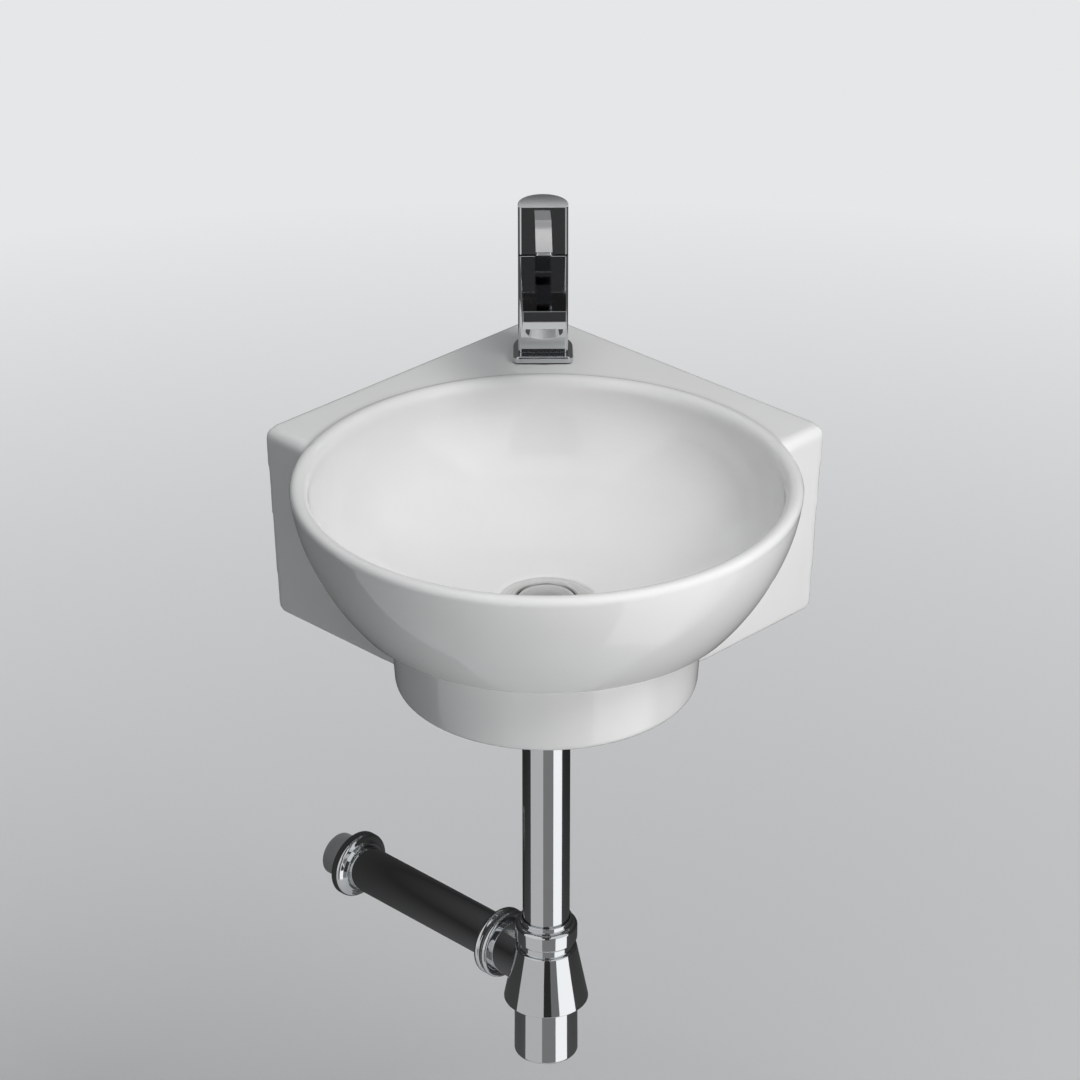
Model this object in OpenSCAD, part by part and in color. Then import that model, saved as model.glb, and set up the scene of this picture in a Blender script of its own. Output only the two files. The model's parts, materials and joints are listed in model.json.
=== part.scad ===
// Corner wall-hung washbasin with a single-lever mixer, click waste and bottle trap
// Millimetres. Origin: the room corner's vertical line at shelf level. +Z is up,
// the bowl faces -Y, and the two walls run from the origin along (-1,-1) and (1,-1).

/* [Basin] */
// Width across the two wing tips
basin_w = 370; // [340:5:440]
// Height of the wings from the shelf down
apron_h = 138; // [110:2:180]
// Outer diameter of the round bowl
bowl_d = 330; // [300:5:350]
// Clear distance from each wall to the bowl's widest ring
bowl_gap = 24.5; // [20:0.5:40]
// Height of the rolled rim above the shelf
rim_rise = 3; // [1:0.5:8]
// Width of the rolled rim
lip_w = 12; // [10:1:18]
// Depth of the bowl's floor below the shelf
floor_z = 86; // [70:1:120]
// Depth of the bowl's shoulder below the shelf
shoulder_z = 80; // [60:1:110]
// Outer diameter of the bowl at its shoulder
shoulder_d = 260; // [220:2:290]
// Outer diameter of the plinth ring under the bowl
plinth_d = 205; // [150:5:215]
// Height of the plinth ring's foot below the wings' lower edge
plinth_drop = 4; // [0:1:30]

/* [Ceramic] */
// Thickness of the shelf
shelf_t = 13; // [10:1:20]
// Thickness of the skirts that lie against the walls
skirt_t = 11; // [9:1:16]
// Thickness of the wings' front faces
face_t = 10; // [8:1:14]
// Thickness of the bowl's floor and of the plinth ring
shell_t = 13; // [10:1:16]
// Draft of the wings' front faces, in degrees
face_draft = 2.5; // [0:0.5:4]
// Radius of the wings' soft edges, beside the wall and at the foot
edge_r = 4; // [3:0.5:6]
// Radius of the wings' upper front edges
top_edge_r = 8; // [5:0.5:10]
// Radius of the bowl's shoulder edge
shoulder_edge_r = 6; // [4:0.5:8]
// Radius of the hollow corner between the shoulder and the plinth
step_r = 4.5; // [3:0.5:6]

/* [Wall fixing] */
// Diameter of the wall studs
stud_d = 10; // [8:1:12]
// Distance of each fixing hole from the room corner, along the wall
fix_along = 200; // [180:5:230]
// Depth of the fixing holes below the shelf
fix_z = 62; // [45:1:90]
// Length of stud that goes into the wall
stud_embed = 40; // [30:5:45]

/* [Tap] */
// Width of the tap's body and lever cap
tap_w = 34; // [30:1:40]
// Distance from the tap's axis to the bowl's widest ring
tap_setback = 37; // [32:1:45]
// Height of the body's top above the shelf
tap_body_h = 77; // [70:1:95]
// Height of the lever cap
cap_h = 32.4; // [28:0.2:40]
// Reach of the spout, from the tap's axis to the aerator's axis
tap_reach = 74; // [66:1:90]
// Length of the lever blade in front of the tap's axis
blade_reach = 67; // [55:1:75]
// Width of the lever blade
blade_w = 11; // [8:1:14]
// Diameter of the hole for the tap in the shelf
tap_hole_d = 35; // [33:1:36]

/* [Waste] */
// Diameter of the waste's flange
waste_flange_d = 63; // [58:1:70]
// Diameter of the plug
plug_d = 38.2; // [36:0.2:40]
// Diameter of the waste's threaded tail, G 1 1/4
tail_d = 41.9; // [41.9:0.1:42]
// Length of the threaded tail below the flange
tail_l = 48; // [46:1:60]

/* [Trap] */
// Outer diameter of the downpipe and the outlet pipe
pipe_d = 32; // [32:0.5:34]
// Wall of the two pipes
pipe_t = 1.2; // [1:0.1:2]
// Distance from the foot of the tail to the top of the trap's nut
trap_drop = 193; // [120:1:260]
// Height of the trap's bell
bell_h = 41.5; // [38:0.5:60]
// Diameter of the bell at its foot
bell_d = 58; // [56:1:70]
// Height of the removable cup below the bell
cup_h = 42.2; // [34:0.2:60]
// Diameter of the cup
cup_d = 43; // [42.5:0.5:46]
// Diameter of the outlet's ring nut
outlet_nut_d = 49; // [47:0.5:56]
// Diameter of the wall flange
wall_flange_d = 48; // [44:1:65]
// Length of outlet pipe that goes into the wall
pipe_embed = 18; // [10:1:60]

/* [Hidden] */
$fn = 72;
eps = 0.01;
// Free play between a thread and its nut, and of a running fit
play = 0.05;
leg = basin_w / sqrt(2);
bowl_r = bowl_d / 2;
bowl_in_r = bowl_r - lip_w;
// Bowl axis: its distance along both walls, and its distance from the corner line
axis_w = bowl_r + bowl_gap;
bowl_c = axis_w * sqrt(2);
tap_c = bowl_c - bowl_r - tap_setback;
plinth_r = plinth_d / 2;
plinth_z = apron_h + plinth_drop;
plinth_in_r = plinth_r - shell_t - 1;
shoulder_r = shoulder_d / 2;
under_z = floor_z + shell_t;
// Superellipse of the bowl's outside and of its inside
out_n = 1.74;
out_h = (rim_rise + shoulder_z) / pow(1 - pow(shoulder_r / bowl_r, 2), 1 / out_n);
in_n = 2.1;
in_lip_r = lip_w * 0.62;
out_lip_r = lip_w - in_lip_r;
in_top = rim_rise - in_lip_r;
function out_r(z) = bowl_r * sqrt(1 - pow((rim_rise - z) / out_h, out_n));
function in_z(r) = in_top - (floor_z + in_top) * pow(1 - pow(r / bowl_in_r, in_n), 1 / in_n);
function arc(cx, cz, r, a0, a1, n) = [for (i = [0:n]) let (a = a0 + (a1 - a0) * i / n) [cx + r * cos(a), cz + r * sin(a)]];
// Wall fixings
sleeve_t = 3;
washer_t = 2;
nut_t = 8;
fix_hole_r = stud_d / 2 + 2;
// The studs' wood thread is a little thinner than their nut's thread
embed_r = stud_d / 2 - 0.2;
// Tap heights, above the shelf
tap_r = tap_w / 2;
seal_t = 1.2;
plate_h = 4.5;
plate_r = tap_r + 3.5;
plate_corner = 4;
body_z0 = seal_t + plate_h;
body_front = 13;
chamber_r = body_front - 0.7;
nut_sink = 0.9;
chamber_z = tap_body_h - 29;
pivot_z = tap_body_h + 7.5;
cap_z0 = tap_body_h + 0.6;
cap_z1 = cap_z0 + cap_h;
cap_front0 = 12;
cap_front1 = 8;
cap_roof = pivot_z + 8.5;
stem_w = 7;
stem_top = cap_z1 - 6;
spout_tip = tap_reach + 17;
spout_top = tap_body_h - 6.8;
spout_under = tap_body_h - 20.5;
aer_r = 12.4;
aer_h = 8.2;
aer_bore = 10.5;
tap_stud_y = -8;
port_x = 7.5;
port_y = 4;
port_r = 4.6;
shoe_slot = 2 * port_x + 13;
tap_stud_drop = 36;
port_depth = 12;
// Waste heights, below the shelf
tail_r = tail_d / 2;
flange_r = waste_flange_d / 2;
waste_hole_r = tail_r + 2;
recess_z = -floor_z - 1.8;
flange_z0 = recess_z + 1.5;
flange_z1 = flange_z0 + 3.2;
tail_z = flange_z0 - tail_l;
cone_z = -under_z - 5.5;
slip_z = cone_z - 1.5;
backnut_z = slip_z - 9;
backnut_w = tail_d + 10.1;
plug_r = plug_d / 2;
waste_r = 17.6;
guide_z = flange_z1 - 14;
// Trap heights, below the shelf
pipe_r = pipe_d / 2;
pipe_in = pipe_r - pipe_t;
coup_shoulder = tail_z - 4.5;
coup_z = coup_shoulder - 3;
tnut_z1 = tail_z - trap_drop;
tnut_shoulder = tnut_z1 - 8;
neck_z1 = tnut_shoulder - 3.2;
tnut_z0 = tnut_z1 - 17.5;
bell_z1 = tnut_z0 - 5.5;
bell_z0 = bell_z1 - bell_h;
neck_r = 18.5;
neck_floor = bell_z1 + 2;
bell_top_r = 20.9;
bell_r = bell_d / 2;
cup_r = cup_d / 2;
cup_thread_r = cup_r - 1.5;
cup_in = cup_r - 3.1;
cup_top = bell_z0 - 1;
cup_z0 = cup_top - cup_h;
dip_r = 13;
out_z = bell_z1 - 17;
branch_r = 19.5;
branch_l = 43.5;
onut_r = outlet_nut_d / 2;
wf_r = wall_flange_d / 2;
// The pipe's end that goes into the wall socket is drawn down a little
spigot_r = pipe_r - 0.4;

// Frame of the left wall: x runs along the wall from the corner, y out of the wall
module left_wall() rotate([0, 0, 225]) children();
// Both walls: the right one is the left one's mirror image
module both_walls() for (s = [0, 1]) mirror([s, 0, 0]) left_wall() children();
module at_bowl() translate([0, -bowl_c, 0]) children();
module at_tap() translate([0, -tap_c, 0]) children();
// A revolve of an [r, z] outline
module lathe(pts) rotate_extrude($fn = 96) polygon(pts);
module ring(r1, r0, z0, z1) translate([0, 0, z0]) difference() {
  cylinder(r = r1, h = z1 - z0);
  translate([0, 0, -1]) cylinder(r = r0, h = z1 - z0 + 2);
}
// Axis along -y of the left wall's frame, from the trap's axis to the wall
module outlet_axis() at_bowl() left_wall() translate([0, 0, out_z]) rotate([90, 0, 0]) children();

// Fillet bar: removes the corner of a right-angled edge that runs along z from 0 to l
module edge_bar(l, r) translate([0, 0, -2]) linear_extrude(l + 4) difference() {
  translate([-1, -1]) square(r + 1);
  translate([r, r]) circle(r);
}

// Corner prism of shelf, skirts and wings, in the left wall's frame
module drafted_block(size, top, bottom) {
  run = tan(face_draft);
  difference() {
    translate([0, 0, bottom]) cube([size, size, top - bottom]);
    for (s = [0, 1]) mirror([s, -s, 0]) translate([size, -5, 0]) rotate([0, face_draft, 0])
      translate([0, 0, bottom * 2]) cube([size, size + 10, top - 3 * bottom]);
  }
}
module corner_prism() left_wall() difference() {
  drafted_block(leg, 0, -apron_h);
  for (s = [0, 1]) mirror([s, -s, 0]) {
    // Upper front edge of the wing
    translate([leg, -1, 0]) rotate([0, 0, 90]) rotate([90, 0, 90]) mirror([1, 0, 0]) mirror([0, 1, 0]) edge_bar(leg / 2, top_edge_r);
    // Outer upright edge, beside the wall
    translate([leg, 0, 0]) rotate([0, face_draft, 0]) translate([0, 0, -apron_h - 4]) rotate([0, 0, 90]) edge_bar(apron_h + 8, edge_r);
    // Lower front edge of the wing
    translate([leg - apron_h * tan(face_draft), -1, -apron_h]) rotate([0, 0, 90]) rotate([90, 0, 90]) mirror([1, 0, 0]) edge_bar(leg / 2, edge_r);
  }
}
module prism_cavity() left_wall() intersection() {
  drafted_block(leg - face_t, -shelf_t, -apron_h - 20);
  translate([skirt_t, skirt_t, -apron_h - 30]) cube([leg, leg, apron_h + 30]);
}

// Outlines of the bowl, as [r, z]
in_line = [for (i = [0:13]) let (r = waste_hole_r + (bowl_in_r - waste_hole_r) * pow(sin(90 * i / 13), 0.9)) [r, in_z(min(r, bowl_in_r))]];
lip_in = arc(bowl_in_r + in_lip_r, rim_rise - in_lip_r, in_lip_r, 180, 90, 6);
lip_out = arc(bowl_r - out_lip_r, rim_rise - out_lip_r, out_lip_r, 90, 0, 6);
out_line = [for (i = [1:12]) let (z = rim_rise - out_lip_r - (rim_rise - out_lip_r + shoulder_z) * i / 12) [out_r(z), z]];
// The shoulder edge starts where the bowl's wall meets it, at the wall's own slope
step_z = -shoulder_z - 4;
shoulder_a = atan(out_r(-shoulder_z + 0.5) - out_r(-shoulder_z - 0.5));
edge_z = step_z + shoulder_edge_r * (1 - sin(shoulder_a));
shoulder_line = arc(out_r(edge_z) - shoulder_edge_r * cos(shoulder_a), step_z + shoulder_edge_r, shoulder_edge_r, -shoulder_a, -90, 4);
plinth_line = concat(arc(plinth_r + step_r, step_z - step_r, step_r, 90, 180, 4), arc(plinth_r - 8, -plinth_z + 5, 5, 0, -90, 4));
under_line = [for (i = [0:6]) let (r = plinth_in_r + 1 + (waste_hole_r + 13 - plinth_in_r) * i / 6) [r, in_z(r) - shell_t]];
module bowl_shell() lathe(concat(
  in_line, [for (i = [1:6]) lip_in[i]], lip_out, out_line, shoulder_line, plinth_line,
  [[plinth_in_r, -plinth_z], [plinth_in_r - 2, -plinth_z + 2]],
  under_line, [[waste_hole_r + 13, -under_z], [waste_hole_r, -under_z]]));
// Void that clears the prism out of the bowl and the plinth: it runs mid-way inside the shell
function in_r(z) = bowl_in_r * pow(1 - pow((in_top - z) / (floor_z + in_top), in_n), 1 / in_n);
module bowl_void() lathe(concat([[0, 20], [bowl_r - lip_w / 2, 20]],
  [for (f = [0.07, 0.2, 0.35, 0.5, 0.65, 0.8, 0.9]) let (z = -f * shoulder_z) [(out_r(z) + in_r(z)) / 2, z]],
  [[plinth_r + 3, -shoulder_z], [plinth_r - shell_t / 2 - 1, -shoulder_z - 9], [plinth_r - shell_t / 2 - 1.5, -plinth_z - 40], [0, -plinth_z - 40]]));

module basin() color("white") difference() {
  union() {
    difference() {
      corner_prism();
      prism_cavity();
      at_bowl() bowl_void();
    }
    at_bowl() bowl_shell();
  }
  at_bowl() translate([0, 0, recess_z]) cylinder(r = flange_r + 0.4, h = 6);
  at_bowl() translate([0, 0, -under_z - 5]) cylinder(r = waste_hole_r, h = 30);
  at_tap() translate([0, 0, -shelf_t - 5]) cylinder(d = tap_hole_d, h = shelf_t + 10);
  both_walls() translate([fix_along, -5, -fix_z]) rotate([-90, 0, 0]) cylinder(r = fix_hole_r, h = skirt_t + 10);
}

// Wall fixings: x along the stud is the wall's y
module at_fixings() both_walls() translate([fix_along, 0, -fix_z]) rotate([-90, 0, 0]) children();
module wall_studs() color("silver") at_fixings() lathe([[0, -stud_embed], [embed_r - 3, -stud_embed], [embed_r, -stud_embed + 6], [embed_r, -1],
  [stud_d / 2, -0.5], [stud_d / 2, skirt_t + 18], [stud_d / 2 - 1, skirt_t + 19], [0, skirt_t + 19]]);
module stud_sleeves() color("whitesmoke") at_fixings() lathe([[stud_d / 2 + play, 0.3], [fix_hole_r - play, 0.3], [fix_hole_r - play, skirt_t],
  [stud_d / 2 + 8, skirt_t], [stud_d / 2 + 8, skirt_t + 1.5], [stud_d / 2 + 6.5, skirt_t + sleeve_t], [stud_d / 2 + play, skirt_t + sleeve_t]]);
module stud_washers() color("silver") at_fixings() ring(stud_d / 2 + 6, stud_d / 2 + 0.2, skirt_t + sleeve_t, skirt_t + sleeve_t + washer_t);
module hex_nut(af, bore, h) difference() {
  intersection() {
    cylinder(r = af / sqrt(3), h = h, $fn = 6);
    lathe([[0, 0], [af / 2 - 0.1, 0], [af / 2 + 1.2, 1], [af / 2 + 1.2, h - 1], [af / 2 - 0.1, h], [0, h]]);
  }
  translate([0, 0, -1]) cylinder(r = bore, h = h + 2);
}
module stud_nuts() color("silver") at_fixings() translate([0, 0, skirt_t + sleeve_t + washer_t]) hex_nut(stud_d + 7, stud_d / 2 + 0.02, nut_t);

// Tap: a flat front and a half-round back
module d_plan(r, front, corner = 1.2) {
  intersection() {
    circle(r);
    translate([-r, -1]) square([2 * r, r + 1]);
  }
  translate([-r, -front + corner]) square([2 * r, front - corner]);
  translate([-r + corner, -front]) square([2 * (r - corner), corner + 1]);
  for (s = [-1, 1]) translate([s * (r - corner), -front + corner]) circle(corner, $fn = 24);
}
module tap_base_seal() color("dimgray") at_tap() linear_extrude(seal_t) difference() {
  d_plan(plate_r - 1, plate_r - 1, plate_corner);
  d_plan(tap_r - 1, body_front - 0.6);
}
module tap_base_plate() color("silver") at_tap() difference() {
  union() {
    translate([0, 0, seal_t]) linear_extrude(plate_h - 1.6) d_plan(plate_r, plate_r, plate_corner);
    translate([0, 0, body_z0 - 1.6]) cylinder(r1 = plate_r, r2 = plate_r - 1.6, h = 1.6);
    intersection() {
      linear_extrude(body_z0 + 1) d_plan(plate_r, plate_r, plate_corner);
      rotate([90, 0, 90]) translate([0, 0, -plate_r]) linear_extrude(2 * plate_r)
        polygon([[0, body_z0 - 1.6], [-plate_r, body_z0 - 1.6], [-plate_r + 1.6, body_z0], [0, body_z0]]);
      rotate([90, 0, 0]) linear_extrude(plate_r)
        polygon([[-plate_r, body_z0 - 1.6], [plate_r, body_z0 - 1.6], [plate_r - 1.6, body_z0], [-plate_r + 1.6, body_z0]]);
    }
  }
  translate([0, 0, -1]) linear_extrude(body_z0 + 2) d_plan(tap_r - 1, body_front - 0.6);
}
// Spout: its side outline crossed with its plan outline
module spout() intersection() {
  rotate([90, 0, 90]) translate([0, 0, -tap_r]) linear_extrude(tap_w) polygon([[0, tap_body_h], [-body_front + 1, tap_body_h], [-spout_tip, spout_top],
    [-spout_tip, spout_top - 7], [-spout_tip + 3, spout_under], [-tap_reach + 14, spout_under], [-body_front, spout_under - 9.5], [0, spout_under - 9.5]]);
  linear_extrude(tap_body_h + 5) polygon([[-tap_r + 1, 0], [-tap_r + 1, -body_front], [-tap_r + 2.6, -spout_tip], [tap_r - 2.6, -spout_tip], [tap_r - 1, -body_front], [tap_r - 1, 0]]);
}
way_rise = 6;
module tap_body() color("silver") at_tap() difference() {
  union() {
    translate([0, 0, body_z0]) linear_extrude(tap_body_h - body_z0) d_plan(tap_r, body_front);
    spout();
  }
  translate([0, 0, chamber_z]) cylinder(r = chamber_r, h = 40);
  // Aerator socket and the waterway to it
  translate([0, -tap_reach, spout_under - 1]) cylinder(r = aer_bore, h = 10.5);
  translate([0, 0, spout_under + 1.5]) rotate([90 - atan(way_rise / tap_reach), 0, 0]) cylinder(r = 3.2, h = tap_reach, $fn = 32);
  // Hot and cold inlets with their threaded ports, and the fixing stud's hole
  for (s = [-1, 1]) translate([s * port_x, port_y, 0]) {
    cylinder(r = 3.6, h = chamber_z + 1, $fn = 32);
    cylinder(r = port_r, h = body_z0 + port_depth, $fn = 48);
  }
  translate([0, tap_stud_y, 0]) cylinder(r = 4, h = body_z0 + port_depth + 0.3, $fn = 48);
}
module tap_cartridge() color("gold") at_tap() difference() {
  lathe([[0, chamber_z], [chamber_r - 0.1, chamber_z], [chamber_r - 0.1, chamber_z + 9], [chamber_r - 0.6, chamber_z + 9.5], [chamber_r - 0.6, chamber_z + 13],
    [chamber_r - 0.1, chamber_z + 13.5], [chamber_r - 0.1, tap_body_h - 5.3 - nut_sink], [9, tap_body_h - 5.3 - nut_sink], [9, tap_body_h + 1.6], [8.4, tap_body_h + 2.2], [0, tap_body_h + 2.2]]);
  for (s = [-1, 1]) translate([s * port_x, port_y, chamber_z - 1]) cylinder(r = 3, h = 8, $fn = 32);
}
module cartridge_nut() color("goldenrod") at_tap() difference() {
  ring(chamber_r - play, 9 + play, tap_body_h - 5.3 - nut_sink, tap_body_h - nut_sink);
  for (a = [0:60:300]) rotate([0, 0, a]) translate([10, -1.5, tap_body_h - 2 - nut_sink]) cube([5, 3, 4]);
}
// Turning carrier on the cartridge, with a slot and a cross pin for the stem
module stem_carrier() color("white") at_tap() difference() {
  translate([0, 0, tap_body_h + 2.5]) cylinder(r = 8.5, h = pivot_z + 3.5 - tap_body_h - 2.5);
  translate([-stem_w / 2 - 0.1, -10, pivot_z - stem_w / 2 - 0.3]) cube([stem_w + 0.2, 20, 20]);
  translate([-10, 0, pivot_z]) rotate([0, 90, 0]) cylinder(r = 1.5, h = 20, $fn = 32);
}
module carrier_pin() color("silver") at_tap() translate([-8, 0, pivot_z]) rotate([0, 90, 0]) cylinder(r = 1.49, h = 16, $fn = 32);
module lever_stem() color("silver") at_tap() difference() {
  union() {
    translate([-stem_w / 2, 0, pivot_z]) rotate([0, 90, 0]) cylinder(r = stem_w / 2, h = stem_w);
    translate([-stem_w / 2, -stem_w / 2, pivot_z]) cube([stem_w, stem_w, stem_top - pivot_z]);
  }
  translate([-10, 0, pivot_z]) rotate([0, 90, 0]) cylinder(r = 1.55, h = 20, $fn = 32);
}
screw_z = cap_roof + 5.5;
lift_cut = 22;
module lever_cap() color("silver") at_tap() difference() {
  union() {
    intersection() {
      translate([0, 0, cap_z0]) linear_extrude(cap_h) d_plan(tap_r, cap_front0);
      rotate([90, 0, 90]) translate([0, 0, -tap_r - 1]) linear_extrude(tap_w + 2)
        polygon([[-cap_front0, cap_z0], [-cap_front1, cap_z1], [tap_r + 1, cap_z1], [tap_r + 1, cap_z0], [-cap_front0, cap_z0 - eps]]);
    }
    // Blade: thins towards its tip
    intersection() {
      rotate([90, 0, 90]) translate([0, 0, -blade_w / 2]) linear_extrude(blade_w)
        polygon([[0, cap_z1 - 8.8], [-blade_reach, cap_z1 - 7], [-blade_reach, cap_z1 - 9.8], [-cap_front1 - 8, cap_z1 - 12], [-cap_front1 - 1, cap_z1 - 16], [0, cap_z1 - 16]]);
      linear_extrude(200) union() {
        translate([-blade_w / 2, -blade_reach + 2]) square([blade_w, blade_reach - 2]);
        translate([-blade_w / 2 + 2, -blade_reach]) square([blade_w - 4, 4]);
        for (s = [-1, 1]) translate([s * (blade_w / 2 - 2), -blade_reach + 2]) circle(2, $fn = 32);
      }
    }
  }
  // Hollow over the cartridge, and the slope that lets the cap tip back
  intersection() {
    translate([0, 0, cap_z0 - 1]) cylinder(r = tap_r - 3, h = cap_roof - cap_z0 + 1);
    translate([-tap_w, -9.6, cap_z0 - 1]) cube([2 * tap_w, 2 * tap_w, 40]);
  }
  translate([0, 0, cap_z0]) rotate([lift_cut, 0, 0]) translate([-tap_w, 0, -30]) cube([2 * tap_w, 3 * tap_w, 30]);
  translate([-stem_w / 2 - 0.03, -stem_w / 2 - 0.03, cap_roof - 1]) cube([stem_w + 0.06, stem_w + 0.06, stem_top + 0.3 - cap_roof + 1]);
  translate([0, 0, screw_z]) rotate([-90, 0, 0]) cylinder(r = 2.52, h = 30, $fn = 32);
}
module lever_screw() color("dimgray") at_tap() difference() {
  translate([0, stem_w / 2 + 0.1, screw_z]) rotate([-90, 0, 0]) cylinder(r = 2.5, h = tap_r - stem_w / 2 - 2.5, $fn = 32);
  translate([0, tap_r - 5, screw_z]) rotate([-90, 0, 0]) cylinder(r = 1.45, h = 10, $fn = 6);
}
module at_aerator() at_tap() translate([0, -tap_reach, 0]) children();
module aerator_ring() color("silver") at_aerator() lathe([[9.6, spout_under - aer_h], [aer_r - 0.8, spout_under - aer_h], [aer_r, spout_under - aer_h + 0.8],
  [aer_r, spout_under - 0.8], [aer_r - 0.5, spout_under], [aer_bore - play, spout_under], [aer_bore - play, spout_under + 6], [9.6, spout_under + 6]]);
module aerator_insert() color("gainsboro") at_aerator() difference() {
  translate([0, 0, spout_under - aer_h + 1]) cylinder(r = 9.55, h = aer_h + 4.8);
  translate([0, 0, spout_under - aer_h - 1]) cylinder(r = 1.2, h = 30, $fn = 24);
  for (n = [1, 2], k = [0:6 * n - 1]) rotate([0, 0, k * 60 / n]) translate([3.6 * n, 0, spout_under - aer_h - 1]) cylinder(r = 1.2, h = 30, $fn = 24);
}
module aerator_seal() color("dimgray") at_aerator() ring(aer_bore - 0.1, 6.5, spout_under + 6, spout_under + 7.6);
// Under the shelf: stud, horseshoe seal and plate, nut
module tap_stud() color("goldenrod") at_tap() translate([0, tap_stud_y, -shelf_t - tap_stud_drop]) cylinder(r = 3.95, h = shelf_t + tap_stud_drop + body_z0 + port_depth, $fn = 48);
module shoe_plan(r) difference() {
  circle(r);
  translate([-shoe_slot / 2, port_y - 6]) square([shoe_slot, 2 * tap_hole_d]);
  translate([0, tap_stud_y]) circle(4.2, $fn = 48);
}
module tap_rubber_shoe() color("dimgray") at_tap() translate([0, 0, -shelf_t - 3]) linear_extrude(3) shoe_plan(tap_hole_d / 2 + 7);
module tap_metal_shoe() color("silver") at_tap() translate([0, 0, -shelf_t - 5]) linear_extrude(2) shoe_plan(tap_hole_d / 2 + 6);
module tap_stud_nut() color("goldenrod") at_tap() translate([0, tap_stud_y, -shelf_t - 15]) hex_nut(13, 4, 10);

// Waste: flange, seat, threaded tail and a cross that holds the click guide
module waste_body() color("silver") at_bowl() difference() {
  union() {
    lathe([[tail_r, flange_z0], [flange_r, flange_z0], [flange_r, flange_z0 + 1], [flange_r - 0.8, flange_z0 + 2.2], [flange_r - 3, flange_z1], [plug_r + 4, flange_z1 - 0.3],
      [plug_r + 2.2, flange_z1 - 0.9], [plug_r + 0.5, flange_z1 - 2.6], [waste_r, flange_z1 - 7], [waste_r, tail_z], [tail_r - 0.8, tail_z], [tail_r, tail_z + 0.8]]);
    for (a = [0, 90]) rotate([0, 0, a]) translate([-waste_r - 1, -1.5, guide_z - 7]) cube([2 * waste_r + 2, 3, 4]);
    translate([0, 0, guide_z - 10]) cylinder(r = 9, h = 9);
  }
  translate([0, 0, guide_z - 15]) cylinder(r = 7, h = 30, $fn = 48);
}
module waste_top_seal() color("dimgray") at_bowl() ring(flange_r - 1.5, tail_r + 0.1, recess_z, flange_z0);
module waste_cone_seal() color("dimgray") at_bowl() lathe([[tail_r + 0.1, -under_z + 5], [waste_hole_r - 0.3, -under_z + 5], [waste_hole_r - 0.1, -under_z],
  [waste_hole_r + 9, -under_z], [waste_hole_r + 9, -under_z - 2.5], [waste_hole_r + 4, cone_z], [tail_r + 0.1, cone_z]]);
module waste_slip_ring() color("whitesmoke") at_bowl() ring(waste_hole_r + 7, tail_r + 0.1, slip_z, cone_z);
module waste_backnut() color("goldenrod") at_bowl() translate([0, 0, backnut_z]) hex_nut(backnut_w, tail_r + play, slip_z - backnut_z);
spindle_r = 4;
module click_guide() color("white") at_bowl() lathe([[spindle_r + 0.06, guide_z], [9, guide_z], [9, guide_z - 1], [6.98, guide_z - 1], [6.98, guide_z - 26], [5.5, guide_z - 28],
  [spindle_r + 0.06, guide_z - 28]]);
plug_z = flange_z1 - 0.1;
groove_z = flange_z1 - 3.4;
module waste_plug() color("silver") at_bowl() lathe([[0, plug_z + 0.5], [plug_r * 0.5, plug_z + 0.35], [plug_r - 2, plug_z], [plug_r - 0.5, plug_z - 0.4], [plug_r, plug_z - 1], [plug_r, plug_z - 1.6],
  [plug_r - 1.9, groove_z], [plug_r - 4.1, groove_z], [plug_r - 4.1, groove_z - 3.2], [plug_r - 2.4, groove_z - 3.2], [plug_r - 3, groove_z - 4.6], [spindle_r, groove_z - 4.6],
  [spindle_r, guide_z - 20], [spindle_r - 1, guide_z - 21], [0, guide_z - 21]]);
module plug_seal() color("dimgray") at_bowl() rotate_extrude($fn = 96) translate([plug_r - 2.5, groove_z - 1.6]) circle(1.55, $fn = 24);

// Trap inlet: coupling nut, washer and the downpipe with its collar
module coupling_nut() color("silver") at_bowl() difference() {
  intersection() {
    translate([0, 0, coup_z]) cylinder(r = (tail_r + 3.6) * 2 / sqrt(3), h = 20.5, $fn = 6);
    translate([0, 0, coup_z]) lathe([[0, 0], [tail_r + 2.6, 0], [tail_r + 4.6, 2], [tail_r + 4.6, 18.5], [tail_r + 3, 20.5], [0, 20.5]]);
  }
  translate([0, 0, coup_shoulder]) cylinder(r = tail_r + play, h = 30);
  translate([0, 0, coup_z - 1]) cylinder(r = pipe_r + 0.3, h = 10);
}
module coupling_washer() color("dimgray") at_bowl() ring(tail_r - 0.4, pipe_in, tail_z - 2.5, tail_z);
module downpipe() color("silver") at_bowl() lathe([[pipe_in, tail_z - 2.5], [tail_r - 0.8, tail_z - 2.5], [tail_r - 0.8, coup_shoulder], [pipe_r, coup_shoulder], [pipe_r, neck_floor + 1.7], [pipe_in, neck_floor + 1.7]]);

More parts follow.
